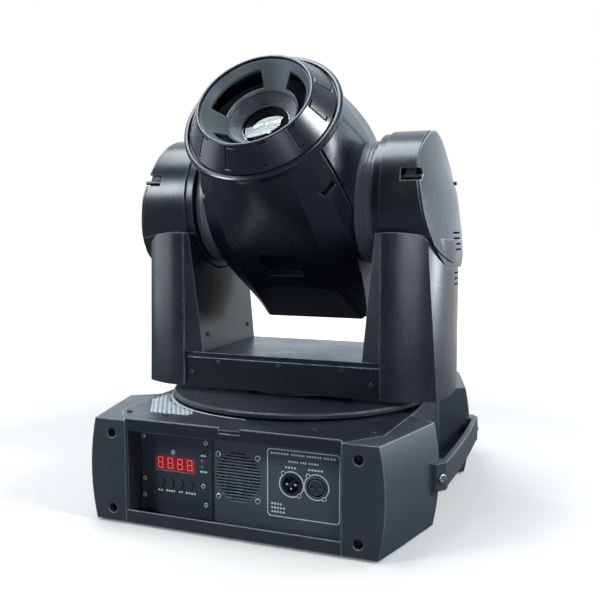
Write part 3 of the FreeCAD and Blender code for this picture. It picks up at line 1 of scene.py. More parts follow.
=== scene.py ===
import json
import math

import bmesh
import bpy
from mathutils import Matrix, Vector


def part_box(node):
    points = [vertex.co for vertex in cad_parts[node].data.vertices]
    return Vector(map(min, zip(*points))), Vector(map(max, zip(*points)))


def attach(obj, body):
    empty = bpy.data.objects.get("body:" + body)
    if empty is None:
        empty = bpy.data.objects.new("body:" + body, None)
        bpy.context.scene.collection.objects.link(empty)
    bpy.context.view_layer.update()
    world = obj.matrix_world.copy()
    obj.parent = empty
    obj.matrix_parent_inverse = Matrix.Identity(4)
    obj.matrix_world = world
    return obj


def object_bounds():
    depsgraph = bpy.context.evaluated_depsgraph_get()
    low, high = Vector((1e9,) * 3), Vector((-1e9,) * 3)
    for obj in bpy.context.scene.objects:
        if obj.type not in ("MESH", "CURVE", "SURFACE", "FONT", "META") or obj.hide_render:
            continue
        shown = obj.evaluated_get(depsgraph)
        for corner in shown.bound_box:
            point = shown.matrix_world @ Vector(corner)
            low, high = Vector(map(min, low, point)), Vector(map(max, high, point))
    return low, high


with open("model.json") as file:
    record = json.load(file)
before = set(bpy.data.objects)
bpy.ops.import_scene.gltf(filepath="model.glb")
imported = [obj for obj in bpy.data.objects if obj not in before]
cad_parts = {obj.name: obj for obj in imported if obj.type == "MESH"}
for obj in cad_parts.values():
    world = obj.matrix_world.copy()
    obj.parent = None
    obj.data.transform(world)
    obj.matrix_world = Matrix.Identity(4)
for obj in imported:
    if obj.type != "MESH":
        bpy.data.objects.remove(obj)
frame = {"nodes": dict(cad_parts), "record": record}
CAD_BOX = [list(corner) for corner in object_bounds()]
SLOT_OF = {row["node"]: row["material_slot"] for row in frame["record"]["subparts"]}
MM = 0.001

LENS, SENSOR = 46.75, 36.0                           # mm
CAMERA_PLACE = (0.38061, -0.98044, 0.34366)
CAMERA_TURN = (84.88, 0.0, 21.38)                    # degrees
COOL = (0.84, 0.94, 1.0)                             # tint of the softboxes
MIDDLE = (0.0, 0.0, 0.3)                             # about the middle of the object
BACKDROP_FROM, BACKDROP_TO = -0.1, 0.75              # Y of a direction in front and behind
ROOM_LIGHT, BACKDROP_LIGHT = 0.06, 1.35              # strength of the world there
FLOOR_SIZE = 40.0                                    # half its side
FLOOR_NEAR, FLOOR_FAR = 0.55, 1.5                    # the floor's glow grows between these
DUST = (0.22, 0.23, 0.24)
EDGE_HIGHLIGHT = (0.30, 0.34, 0.37)                          # painted highlight put on the sharp edges of paint and plastic
BLACK = (0.026, 0.030, 0.034)
CAP_SCREW_X = 0.140                                  # the side covers' screws lie beyond it
RECESS_SHARE = 0.62                                  # of a screw head's width
FACES_ALONG = 0.9                                    # least part of a normal along the axis
INK_T = 0.08 * MM                                    # thickness of the print and the digits


# ---------------------------------------------------------------- node helpers

def map_range(tree, source, low, high, to_low, to_high):
    """The source with low and high moved to to_low and to_high, and held there."""
    node = tree.nodes.new("ShaderNodeMapRange")
    for i, value in enumerate((low, high, to_low, to_high)):
        node.inputs[i + 1].default_value = value
    tree.links.new(source, node.inputs[0])
    return node.outputs[0]


def camera_or_other(tree, seen, lit):
    """One shader for the camera's own rays and another for light and reflections."""
    path = tree.nodes.new("ShaderNodeLightPath")
    mix = tree.nodes.new("ShaderNodeMixShader")
    tree.links.new(path.outputs["Is Camera Ray"], mix.inputs["Fac"])
    tree.links.new(lit, mix.inputs[1])
    tree.links.new(seen, mix.inputs[2])
    return mix.outputs[0]


# ---------------------------------------------------------------- camera, light and floor

def make_camera():
    data = bpy.data.cameras.new("camera")
    data.lens = LENS
    data.sensor_width = SENSOR
    camera = bpy.data.objects.new("camera", data)
    camera.location = CAMERA_PLACE
    camera.rotation_euler = [math.radians(turn) for turn in CAMERA_TURN]
    bpy.context.scene.collection.objects.link(camera)
    bpy.context.scene.camera = camera


def softbox(name, place, aim, width, height, watts):
    data = bpy.data.lights.new(name, "AREA")
    data.shape = "RECTANGLE"
    data.size = width
    data.size_y = height
    data.energy = watts
    data.color = COOL
    lamp = bpy.data.objects.new(name, data)
    lamp.location = place
    lamp.rotation_euler = (Vector(aim) - Vector(place)).to_track_quat("-Z", "Y").to_euler()
    bpy.context.scene.collection.objects.link(lamp)


def make_lights():
    softbox("top_box", (-0.5, 0.0, 1.8), MIDDLE, 0.9, 0.9, 30)
    softbox("left_box", (-0.95, -1.2, 1.0), (-0.1, 0.0, 0.35), 0.4, 0.45, 17)
    softbox("right_box", (1.3, -0.3, 1.0), (0.0, -0.1, 0.45), 0.4, 0.4, 24)
    softbox("right_rear_box", (1.36, 0.68, 0.42), (0.0, 0.0, 0.4), 0.3, 0.5, 9)
    softbox("low_left_box", (-1.55, -0.6, 0.35), MIDDLE, 1.1, 0.6, 6)
    softbox("low_front_box", (0.75, -1.5, 0.35), (0.1, -0.2, 0.1), 0.8, 0.35, 6)


def make_world():
    """White for the camera; for the object, a white backdrop behind and a darker room in front."""
    world = bpy.data.worlds.new("studio")
    bpy.context.scene.world = world
    world.use_nodes = True
    tree = world.node_tree
    nodes, links = tree.nodes, tree.links
    nodes.clear()
    out = nodes.new("ShaderNodeOutputWorld")
    seen = nodes.new("ShaderNodeBackground")
    seen.inputs["Color"].default_value = (1.0, 1.0, 1.0, 1.0)
    lit = nodes.new("ShaderNodeBackground")
    lit.inputs["Color"].default_value = (0.78, 0.89, 1.0, 1.0)
    way = nodes.new("ShaderNodeSeparateXYZ")
    links.new(nodes.new("ShaderNodeTexCoord").outputs["Generated"], way.inputs[0])
    strength = map_range(tree, way.outputs["Y"], BACKDROP_FROM, BACKDROP_TO,
                         ROOM_LIGHT, BACKDROP_LIGHT)
    links.new(strength, lit.inputs["Strength"])
    links.new(camera_or_other(tree, seen.outputs[0], lit.outputs[0]), out.inputs["Surface"])


def make_floor():
    """White paper: soft shadows near the object and clean white further off for the camera.

    Light and reflections meet a dark floor that is bright only well behind the object.
    """
    bm = bmesh.new()
    bmesh.ops.create_grid(bm, x_segments=1, y_segments=1, size=FLOOR_SIZE)
    mesh = bpy.data.meshes.new("floor")
    bm.to_mesh(mesh)
    bm.free()
    floor = bpy.data.objects.new("floor", mesh)
    floor.location.z = CAD_BOX[0][2]
    bpy.context.scene.collection.objects.link(floor)
    mat = bpy.data.materials.new("floor_paper")
    mat.use_nodes = True
    tree = mat.node_tree
    nodes, links = tree.nodes, tree.links
    nodes.clear()
    out = nodes.new("ShaderNodeOutputMaterial")
    place = nodes.new("ShaderNodeTexCoord").outputs["Object"]
    away = nodes.new("ShaderNodeVectorMath")
    away.operation = "LENGTH"
    links.new(place, away.inputs[0])
    behind = nodes.new("ShaderNodeSeparateXYZ")
    links.new(place, behind.inputs[0])

    def paper(colour, distance, near_glow, far_glow):
        strength = map_range(tree, distance, FLOOR_NEAR, FLOOR_FAR, near_glow, far_glow)
        pale = nodes.new("ShaderNodeBsdfDiffuse")
        pale.inputs["Color"].default_value = (*colour, 1.0)
        glow = nodes.new("ShaderNodeEmission")
        links.new(strength, glow.inputs["Strength"])
        add = nodes.new("ShaderNodeAddShader")
        links.new(pale.outputs[0], add.inputs[0])
        links.new(glow.outputs[0], add.inputs[1])
        return add.outputs[0]

    lit = paper((0.12, 0.135, 0.15), behind.outputs["Y"], 0.0, 0.9)
    seen = paper((0.56, 0.515, 0.49), away.outputs["Value"], 0.12, 1.0)
    links.new(camera_or_other(tree, seen, lit), out.inputs["Surface"])
    mesh.materials.append(mat)


# ---------------------------------------------------------------- materials

class Shader:
    """A Principled material with the few node patterns that the finishes share."""

    def __init__(self, name):
        self.material = bpy.data.materials.new(name)
        self.material.use_nodes = True
        self.tree = self.material.node_tree
        self.nodes = self.tree.nodes
        self.bsdf = self.nodes["Principled BSDF"]
        self.place = self.nodes.new("ShaderNodeTexCoord").outputs["Object"]

    def link(self, source, socket):
        self.tree.links.new(source, socket)

    def set(self, **values):
        """Sockets of the Principled shader, with _ for the spaces in their names."""
        for key, value in values.items():
            self.bsdf.inputs[key.replace("_", " ")].default_value = value

    def noise(self, scale, detail=3.0, roughness=0.55, stretch=(1, 1, 1)):
        """Noise with a scale in cycles per metre, stretched along an axis if asked."""
        mapping = self.nodes.new("ShaderNodeMapping")
        mapping.inputs["Scale"].default_value = stretch
        self.link(self.place, mapping.inputs["Vector"])
        node = self.nodes.new("ShaderNodeTexNoise")
        node.inputs["Scale"].default_value = scale
        node.inputs["Detail"].default_value = detail
        node.inputs["Roughness"].default_value = roughness
        self.link(mapping.outputs[0], node.inputs["Vector"])
        return node.outputs["Fac"]

    def cells(self, scale):
        """Distance from the middle of the nearest of many small cells."""
        node = self.nodes.new("ShaderNodeTexVoronoi")
        node.inputs["Scale"].default_value = scale
        self.link(self.place, node.inputs["Vector"])
        return node.outputs["Distance"]

    def remap(self, source, low, high, to_low, to_high):
        return map_range(self.tree, source, low, high, to_low, to_high)

    def math(self, kind, a, b):
        """Sum or product of two sockets or numbers, held between 0 and 1."""
        node = self.nodes.new("ShaderNodeMath")
        node.operation = kind
        node.use_clamp = True
        for i, value in enumerate((a, b)):
            if isinstance(value, (int, float)):
                node.inputs[i].default_value = value
            else:
                self.link(value, node.inputs[i])
        return node.outputs[0]

    def blend(self, factor, first, second):
        """Colour that goes from first to second as factor goes from 0 to 1."""
        node = self.nodes.new("ShaderNodeMix")
        node.data_type = "RGBA"
        self.link(factor, node.inputs[0])
        for socket, value in ((node.inputs[6], first), (node.inputs[7], second)):
            if isinstance(value, tuple):
                socket.default_value = (*value, 1.0)
            else:
                self.link(value, socket)
        return node.outputs[2]

    def rounded(self, radius):
        """Normal with its edges rounded off by the radius in metres."""
        node = self.nodes.new("ShaderNodeBevel")
        node.samples = 4
        node.inputs["Radius"].default_value = radius
        return node.outputs[0]

    def edges(self, radius):
        """Where the painted edge highlight goes: 0 on the faces, up to 1 at sharp edges that face
        up, and less at those that face down.
        """
        bevel = self.rounded(radius)
        face = self.nodes.new("ShaderNodeNewGeometry").outputs["Normal"]
        dot = self.nodes.new("ShaderNodeVectorMath")
        dot.operation = "DOT_PRODUCT"
        self.link(bevel, dot.inputs[0])
        self.link(face, dot.inputs[1])
        height = self.nodes.new("ShaderNodeSeparateXYZ")
        self.link(bevel, height.inputs[0])
        sharp = self.remap(dot.outputs["Value"], 0.98, 0.86, 0.0, 1.0)
        above = self.remap(height.outputs["Z"], -0.3, 0.45, 0.15, 1.0)
        return self.math("MULTIPLY", sharp, above)

    def upward(self):
        """1 on a face that looks straight up and 0 on one that stands upright."""
        face = self.nodes.new("ShaderNodeSeparateXYZ")
        geometry = self.nodes.new("ShaderNodeNewGeometry")
        self.link(geometry.outputs["Normal"], face.inputs[0])
        return face.outputs["Z"]

    def bump(self, height, strength, distance, normal=None):
        """Fine relief on the surface, over another normal if one is given."""
        node = self.nodes.new("ShaderNodeBump")
        node.inputs["Strength"].default_value = strength
        node.inputs["Distance"].default_value = distance
        self.link(height, node.inputs["Height"])
        if normal is not None:
            self.link(normal, node.inputs["Normal"])
        self.link(node.outputs[0], self.bsdf.inputs["Normal"])


def coated(name, colour, rough, grain=900.0, bump=0.12, edge=1.0, spread=0.06, specular=0.5,
           dust=0.12, round_r=0.8 * MM):
    """Moulded plastic or paint: grain in the gloss and the relief, a painted highlight on the edges
    (edge sets its strength), a little dust.
    """
    s = Shader(name)
    s.set(Metallic=0.0, Specular_IOR_Level=specular)
    cloud = s.noise(14.0, 4.0, 0.6)
    fine = s.noise(grain, 2.0)
    patchy = s.remap(s.noise(70.0), 0.3, 0.6, 0.4 * edge, edge)
    # painted highlight: pale colour at sharp edges, patchy, stronger on edges that face up
    edge_highlight_mask = s.math("MULTIPLY", s.edges(round_r * 2.2), patchy)
    settled = s.remap(s.upward(), 0.3, 1.0, 0.0, dust)
    dusty = s.math("MULTIPLY", settled, s.remap(s.noise(45.0, 6.0), 0.4, 0.75, 0.1, 1.0))
    darker = tuple(c * 0.82 for c in colour)
    base = s.blend(s.remap(cloud, 0.3, 0.7, 0.0, 1.0), darker, colour)
    base = s.blend(dusty, base, DUST)
    s.link(s.blend(edge_highlight_mask, base, EDGE_HIGHLIGHT), s.bsdf.inputs["Base Color"])
    gloss = s.remap(cloud, 0.25, 0.75, rough - spread, rough + spread)
    scuffed = s.remap(s.noise(220.0, 3.0, 0.6, (1, 1, 6)), 0.62, 0.75, 0.0, 0.12)
    gloss = s.math("ADD", gloss, s.math("ADD", scuffed, s.math("MULTIPLY", dusty, 0.6)))
    s.link(gloss, s.bsdf.inputs["Roughness"])
    s.bump(fine, bump, 0.15 * MM, s.rounded(round_r))
    return s.material


def metal(name, colour, rough, brushed=(1, 1, 1), grain=500.0, bump=0.08, tarnish=0.5,
          metallic=1.0):
    """Bare or plated metal with faint brushing and duller patches."""
    s = Shader(name)
    s.set(Metallic=metallic)
    patch = s.noise(60.0, 5.0, 0.65)
    fine = s.noise(grain, 3.0, 0.6, brushed)
    dull = tuple(c * tarnish for c in colour)
    s.link(s.blend(s.remap(patch, 0.35, 0.75, 0.0, 1.0), colour, dull), s.bsdf.inputs["Base Color"])
    s.link(s.remap(fine, 0.2, 0.8, rough - 0.06, rough + 0.12), s.bsdf.inputs["Roughness"])
    s.bump(fine, bump, 0.05 * MM, s.rounded(0.25 * MM))
    return s.material


def rubber(name, colour, rough=0.7):
    s = Shader(name)
    s.set(Specular_IOR_Level=0.3)
    cloud = s.noise(90.0, 4.0)
    s.link(s.blend(cloud, tuple(c * 0.7 for c in colour), colour), s.bsdf.inputs["Base Color"])
    s.link(s.remap(cloud, 0.3, 0.7, rough - 0.08, rough + 0.08), s.bsdf.inputs["Roughness"])
    s.bump(s.noise(1500.0), 0.2, 0.1 * MM, s.rounded(0.5 * MM))
    return s.material


def clear_glass(name, colour, rough=0.02, smear=0.05):
    s = Shader(name)
    s.set(Transmission_Weight=1.0, IOR=1.52)
    haze = s.noise(35.0, 5.0)
    s.link(s.blend(haze, tuple(c * 0.9 for c in colour), colour), s.bsdf.inputs["Base Color"])
    s.link(s.remap(haze, 0.4, 0.8, rough, rough + smear), s.bsdf.inputs["Roughness"])
    return s.material


def tinted_window(name):
    """Dark red plastic over the display: it glows a little from the lamps behind it."""
    s = Shader(name)
    s.set(Specular_IOR_Level=0.5, Emission_Strength=0.10)
    cloud = s.noise(140.0, 3.0)
    s.link(s.blend(cloud, (0.20, 0.005, 0.01), (0.30, 0.01, 0.015)), s.bsdf.inputs["Base Color"])
    s.link(s.blend(cloud, (0.30, 0.004, 0.01), (0.55, 0.01, 0.02)), s.bsdf.inputs["Emission Color"])
    s.link(s.remap(cloud, 0.3, 0.7, 0.16, 0.3), s.bsdf.inputs["Roughness"])
    s.bump(s.noise(500.0), 0.04, 0.05 * MM)
    return s.material


def glowing(name, low, high, strength):
    s = Shader(name)
    s.set(Emission_Strength=strength)
    cloud = s.noise(400.0, 2.0)
    s.link(s.blend(cloud, low, high), s.bsdf.inputs["Base Color"])
    s.link(s.blend(cloud, low, high), s.bsdf.inputs["Emission Color"])
    s.link(s.remap(cloud, 0.3, 0.7, 0.35, 0.5), s.bsdf.inputs["Roughness"])
    return s.material


def ink(name):
    """White silk-screen print, a little patchy."""
    s = Shader(name)
    patch = s.noise(900.0, 4.0, 0.6)
    s.link(s.blend(s.remap(patch, 0.35, 0.65, 0.0, 1.0), (0.50, 0.54, 0.57), (0.78, 0.82, 0.84)),
           s.bsdf.inputs["Base Color"])
    s.link(s.remap(patch, 0.3, 0.7, 0.4, 0.6), s.bsdf.inputs["Roughness"])
    s.bump(patch, 0.1, 0.03 * MM)
    return s.material


def board(name):
    s = Shader(name)
    tracks = s.cells(420.0)
    s.link(s.blend(s.remap(tracks, 0.1, 0.2, 0.0, 1.0), (0.05, 0.22, 0.10), (0.02, 0.11, 0.05)),
           s.bsdf.inputs["Base Color"])
    s.link(s.remap(tracks, 0.0, 0.4, 0.25, 0.45), s.bsdf.inputs["Roughness"])
    s.bump(tracks, 0.2, 0.05 * MM)
    return s.material


FINISHES = {
    "cover_plastic": lambda n: coated(n, (0.030, 0.036, 0.041), 0.38, 1300.0, 0.22,
                                      round_r=1.2 * MM),
    "arm_plastic": lambda n: coated(n, (0.010, 0.013, 0.016), 0.28, 1500.0, 0.10, dust=0.04),
    "head_plastic": lambda n: coated(n, (0.004, 0.006, 0.009), 0.27, 1500.0, 0.10,
                                     edge=0.3, dust=0.02),
    "bezel_plastic": lambda n: coated(n, (0.007, 0.010, 0.013), 0.24, 1500.0, 0.08,
                                      edge=0.2, dust=0.02),
    "dish_plastic": lambda n: coated(n, (0.060, 0.072, 0.080), 0.40, 1500.0, 0.12),
    "baffle_plastic": lambda n: coated(n, (0.008, 0.009, 0.011), 0.42, 1200.0, 0.10),
    "hub_plastic": lambda n: coated(n, (0.110, 0.120, 0.130), 0.32, 1500.0, 0.10),
    "handle_plastic": lambda n: coated(n, BLACK, 0.38, 900.0, 0.2),
    "chassis_paint": lambda n: coated(n, BLACK, 0.42, 1900.0, 0.3),
    "top_paint": lambda n: coated(n, (0.009, 0.012, 0.015), 0.36, 1900.0, 0.3, dust=0.04),
    "panel_paint": lambda n: coated(n, (0.062, 0.074, 0.085), 0.46, 2100.0, 0.3),
    "control_paint": lambda n: coated(n, (0.030, 0.038, 0.048), 0.40, 2100.0, 0.2),
    "crossbar_paint": lambda n: coated(n, (0.004, 0.006, 0.009), 0.30, 1900.0, 0.25, dust=0.06),
    "disc_paint": lambda n: coated(n, (0.010, 0.013, 0.017), 0.32, 1900.0, 0.2, dust=0.06),
    "frame_steel": lambda n: coated(n, (0.05, 0.052, 0.055), 0.45, 700.0, 0.2),
    "window_tint": tinted_window,
    "circuit_board": board,
    "socket_black": lambda n: coated(n, (0.03, 0.032, 0.036), 0.36, 900.0, 0.1),
    "socket_metal": lambda n: metal(n, (0.10, 0.10, 0.105), 0.30, grain=900.0),
    "inlet_black": lambda n: coated(n, (0.02, 0.021, 0.023), 0.36, 900.0, 0.1),
    "fan_plastic": lambda n: coated(n, (0.014, 0.015, 0.017), 0.4, 900.0, 0.1),
    "button_rubber": lambda n: rubber(n, (0.040, 0.044, 0.050), 0.55),
    "foot_rubber": lambda n: rubber(n, (0.02, 0.02, 0.02)),
    "belt_rubber": lambda n: rubber(n, (0.016, 0.016, 0.017)),
    "machined_aluminium": lambda n: metal(n, (0.62, 0.63, 0.65), 0.3, (1, 1, 12)),
    "heatsink": lambda n: metal(n, (0.50, 0.51, 0.53), 0.4),
    "bearing_steel": lambda n: metal(n, (0.45, 0.45, 0.47), 0.32, (1, 1, 12)),
    "plated_steel": lambda n: metal(n, (0.50, 0.51, 0.52), 0.34, tarnish=0.7),
    "dark_screws": lambda n: metal(n, (0.09, 0.095, 0.10), 0.36),
    "bright_screws": lambda n: metal(n, (0.78, 0.81, 0.84), 0.3, tarnish=0.8, metallic=0.35),
    "lens_glass": lambda n: clear_glass(n, (0.93, 0.96, 0.97)),
    "colour_glass": lambda n: clear_glass(n, (0.35, 0.45, 0.9)),
    "wheel_metal": lambda n: metal(n, (0.5, 0.5, 0.52), 0.35),
}


def loose_parts(mesh):
    """Lists of polygons, one for each separate solid in the mesh."""
    root = {}

    def find(key):
        while root.setdefault(key, key) != key:
            root[key] = root[root[key]]
            key = root[key]
        return key

    spots = [tuple(round(c, 6) for c in v.co) for v in mesh.vertices]
    for polygon in mesh.polygons:
        first = find(spots[polygon.vertices[0]])
        for index in polygon.vertices[1:]:
            root[find(spots[index])] = first
    parts = {}
    for polygon in mesh.polygons:
        parts.setdefault(find(spots[polygon.vertices[0]]), []).append(polygon)
    return parts.values()


def darken_recesses(node, dark, whole=lambda low, high: False):
    """Gives the dark material to the middle of every screw head as painted shade in its recess, or
    to all of some screws.
    """
    mesh = frame["nodes"][node].data
    mesh.materials.append(dark)
    for part in loose_parts(mesh):
        points = [mesh.vertices[i].co for polygon in part for i in polygon.vertices]
        low = Vector(min(p[k] for p in points) for k in range(3))
        high = Vector(max(p[k] for p in points) for k in range(3))
        middle, size = (low + high) / 2, high - low
        axis = max(range(3), key=lambda k: min(abs(size[k] - size[j]) for j in range(3) if j != k))
        reach = RECESS_SHARE * max(size[k] for k in range(3) if k != axis) / 2
        for polygon in part:
            off = polygon.center - middle
            off[axis] = 0.0
            # painted shade: the middle of a screw head, where its recess is
            in_recess = off.length < reach and abs(polygon.normal[axis]) > FACES_ALONG
            if whole(low, high) or in_recess:
                polygon.material_index = 1


def finish_cad_nodes():
    """Gives every CAD node the finish of its slot in the record."""
    made = {}
    for node, piece in frame["nodes"].items():
        slot = SLOT_OF[node]
        if slot not in made:
            made[slot] = FINISHES[slot](slot)
        piece.data.materials.clear()
        piece.data.materials.append(made[slot])
    # black for painted shade in screw recesses and in the side covers' deep screw holes, and the
    # own colour of the top plate's dark screws
    dark = coated("black_screws_and_recess_shade", (0.010, 0.011, 0.012), 0.5, 900.0, 0.1, edge=0.0)
    lip_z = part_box("base_top_plate")[0].z
    # whole screws: those on the top plate are dark screws; those beyond CAP_SCREW_X sit deep in the
    # side covers' holes, and their black is painted shade
    darken_recesses("base_screws", dark,
                    lambda low, high: high.z > lip_z or abs(low.x) > CAP_SCREW_X)
    darken_recesses("handle_bolts", dark)
    light_indicators()
    return made


def light_indicators():
    """Two lamps stand on the display's board, right of the window: red above, green below."""
    mesh = frame["nodes"]["display_module"].data
    mesh.materials.append(glowing("indicator_red", (0.45, 0.03, 0.05), (0.60, 0.06, 0.08), 0.35))
    mesh.materials.append(glowing("indicator_green", (0.02, 0.20, 0.08), (0.04, 0.30, 0.12), 0.15))
    window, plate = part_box("display_window"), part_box("control_panel")
    lamps_from = window[1].x + 5 * MM
    between_lamps = (window[0].z + window[1].z) / 2 + 4.2 * MM
    for polygon in mesh.polygons:
        place = polygon.center
        if place.x > lamps_from and place.y < plate[1].y:
            polygon.material_index = 1 if place.z > between_lamps else 2


# ---------------------------------------------------------------- pieces added in Blender

def new_piece(name, bm, material, body, smooth=False):
    """Makes the object, gives it the material and hangs it on the body that carries it."""
    bmesh.ops.recalc_face_normals(bm, faces=bm.faces)
    mesh = bpy.data.meshes.new(name)
    bm.to_mesh(mesh)
    bm.free()
    mesh.materials.append(material)
    if smooth:
        mesh.polygons.foreach_set("use_smooth", [True] * len(mesh.polygons))
    piece = bpy.data.objects.new(name, mesh)
    bpy.context.scene.collection.objects.link(piece)
    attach(piece, body)


def front_middle(node):
    """x and z of the middle of a node's box."""
    low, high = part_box(node)
    return (low.x + high.x) / 2, (low.z + high.z) / 2


def band(bm, first, second):
    """Faces between two closed rows with the same number of corners."""
    n = len(first)
    for i in range(n):
        j = (i + 1) % n
        bm.faces.new((first[i], first[j], second[j], second[i]))


def slab(bm, outline, y, thick):
    """A flat plate in the XZ plane at y, thick towards the front, from an outline in order."""
    back = [bm.verts.new((x, y, z)) for x, z in outline]
    front = [bm.verts.new((x, y - thick, z)) for x, z in outline]
    bm.faces.new(back)
    bm.faces.new(front[::-1])
    band(bm, back, front)


def ring_slab(bm, outer, inner, y, thick):
    """A flat closed ring between two outlines with the same number of points."""
    rows = [[bm.verts.new((x, yy, z)) for x, z in line]
            for line, yy in ((outer, y), (inner, y), (inner, y - thick), (outer, y - thick))]
    for row, following in zip(rows, rows[1:] + rows[:1]):
        band(bm, row, following)


def rounded_box(x0, x1, z0, z1, r, steps=6):
    """Outline of a rectangle with rounded corners."""
    points = []
    for cx, cz, start in ((x1 - r, z1 - r, 0), (x0 + r, z1 - r, 90),
                          (x0 + r, z0 + r, 180), (x1 - r, z0 + r, 270)):
        for i in range(steps + 1):
            a = math.radians(start + 90 * i / steps)
            points.append((cx + r * math.cos(a), cz + r * math.sin(a)))
    return points


def circle(cx, cz, r, steps=48):
    """Outline of a circle."""
    turns = [2 * math.pi * i / steps for i in range(steps)]
    return [(cx + r * math.cos(turn), cz + r * math.sin(turn)) for turn in turns]


# Print on the panels, in mm from the low corner of each panel's box.
# Outer and inner edge of the frame line: left, right, bottom, top, radius of the corners.
FRAME_LINE = ((163.4, 250.2, 16.8, 95.0, 4.5), (164.4, 249.2, 17.8, 94.0, 3.7))
SOCKET_RING = (15.0, 13.8)                           # radii, around each data socket
SENSOR_RING = (2.3, 1.2)                             # radii, above the display
# Lines of small print: left end, right end, height of the middle, number of dashes.
SOCKET_PRINT = (
    (167.7, 190.4, 89.8, 7), (192.4, 209.2, 89.8, 6), (211.0, 229.2, 89.8, 6),
    (231.0, 246.2, 89.8, 4), (188.7, 201.7, 81.8, 5), (203.7, 211.7, 81.8, 3),
    (213.7, 225.7, 81.8, 4), (185.2, 199.7, 75.0, 4), (212.7, 231.2, 75.0, 5))
NOTE_PRINT = ((168.2, 182.2, 31.6, 4), (168.2, 186.2, 27.0, 5), (168.2, 185.8, 22.4, 5))
CONTROL_PRINT = (
    (21.7, 29.3, 28.4, 2), (32.8, 45.8, 28.7, 4), (50.3, 56.0, 28.7, 2),
    (59.3, 73.8, 28.7, 4), (79.9, 87.5, 75.6, 2), (78.7, 88.7, 56.6, 3))


def dashes(bm, lines, corner, half_height, gap=0.3):
    """Rows of short dashes for lines of small print, placed from a panel's low corner."""
    for start, end, middle, count in lines:
        x0, x1 = corner.x + start * MM, corner.x + end * MM
        z0 = corner.z + (middle - half_height) * MM
        z1 = corner.z + (middle + half_height) * MM
        pitch = (x1 - x0) / count
        for i in range(count):
            left = x0 + i * pitch
            outline = rounded_box(left, left + pitch * (1 - gap), z0, z1, (z1 - z0) * 0.3, 2)
            slab(bm, outline, corner.y, INK_T)


def ring(bm, x, z, radii, y):
    """A flat printed ring."""
    ring_slab(bm, *(circle(x, z, r * MM) for r in radii), y, INK_T)


def panel_print():
    """Frame line, rings and dashes printed on the front panel and the control panel."""
    ink_material = ink("print_ink")
    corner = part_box("front_panel")[0]
    bm = bmesh.new()
    edges = [rounded_box(corner.x + x0 * MM, corner.x + x1 * MM,
                         corner.z + z0 * MM, corner.z + z1 * MM, r * MM)
             for x0, x1, z0, z1, r in FRAME_LINE]
    ring_slab(bm, *edges, corner.y, INK_T)
    for node in ("data_in_socket", "data_out_socket"):
        ring(bm, *front_middle(node), SOCKET_RING, corner.y)
    new_piece("panel_outline_print", bm, ink_material, "base")

    bm = bmesh.new()
    dashes(bm, SOCKET_PRINT, corner, 1.1)
    dashes(bm, NOTE_PRINT, corner, 1.2)
    new_piece("panel_label_marks", bm, ink_material, "base")

    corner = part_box("control_panel")[0]
    bm = bmesh.new()
    dashes(bm, CONTROL_PRINT, corner, 1.1)
    sensor_x = front_middle("display_window")[0] - 2.2 * MM
    sensor_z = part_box("display_window")[1].z + 5 * MM
    ring(bm, sensor_x, sensor_z, SENSOR_RING, corner.y)
    new_piece("control_label_marks", bm, ink_material, "base")


def display_digits(count=4):
    """Seven-segment eights, each with its point, glowing on the face of the window."""
    low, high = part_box("display_window")
    y = low.y
    lit = glowing("digit_glow", (0.75, 0.06, 0.09), (0.85, 0.13, 0.16), 0.42)
    pitch = (high.x - low.x) / count
    w, h, t = pitch * 0.56, (high.z - low.z) * 0.74, 1.15 * MM      # digit and stroke widths
    z_mid = (low.z + high.z) / 2
    bm = bmesh.new()
    for digit in range(count):
        x0 = low.x + pitch * (digit + 0.20)
        x1, z0, z1 = x0 + w, z_mid - h / 2, z_mid + h / 2
        for z in (z0, z_mid - t / 2, z1 - t):
            slab(bm, rounded_box(x0 + t * 0.7, x1 - t * 0.7, z, z + t, t * 0.35, 2), y, INK_T)
        for x in (x0, x1 - t):
            for za, zb in ((z0 + t * 0.7, z_mid - t * 0.4), (z_mid + t * 0.4, z1 - t * 0.7)):
                slab(bm, rounded_box(x, x + t, za, zb, t * 0.35, 2), y, INK_T)
        slab(bm, circle(x1 + t * 0.9, z0 + t * 0.5, t * 0.5, 12), y, INK_T)
    new_piece("display_digits", bm, lit, "base")


def contact_pins(material):
    """Bright rounded tips over the CAD's three pins in the input socket."""
    mouth_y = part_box("data_in_socket")[0].y
    cx, cz = front_middle("data_in_socket")
    circle_r = 5 * MM
    profile = ((1.25, 2.6), (1.4, 2.2), (1.4, 1.2), (1.1, 0.6), (0.5, 0.3))    # radius, depth in mm
    bm = bmesh.new()
    for turn in (math.radians(degrees) for degrees in (0, 180, 270)):
        x, z = cx + circle_r * math.cos(turn), cz + circle_r * math.sin(turn)
        rows = [[bm.verts.new((px, mouth_y + depth * MM, pz))
                 for px, pz in circle(x, z, r * MM, 16)] for r, depth in profile]
        for inner, outer in zip(rows, rows[1:]):
            band(bm, inner, outer)
        bm.faces.new(rows[0])
        bm.faces.new(rows[-1])
    new_piece("data_in_pins", bm, material, "base", smooth=True)


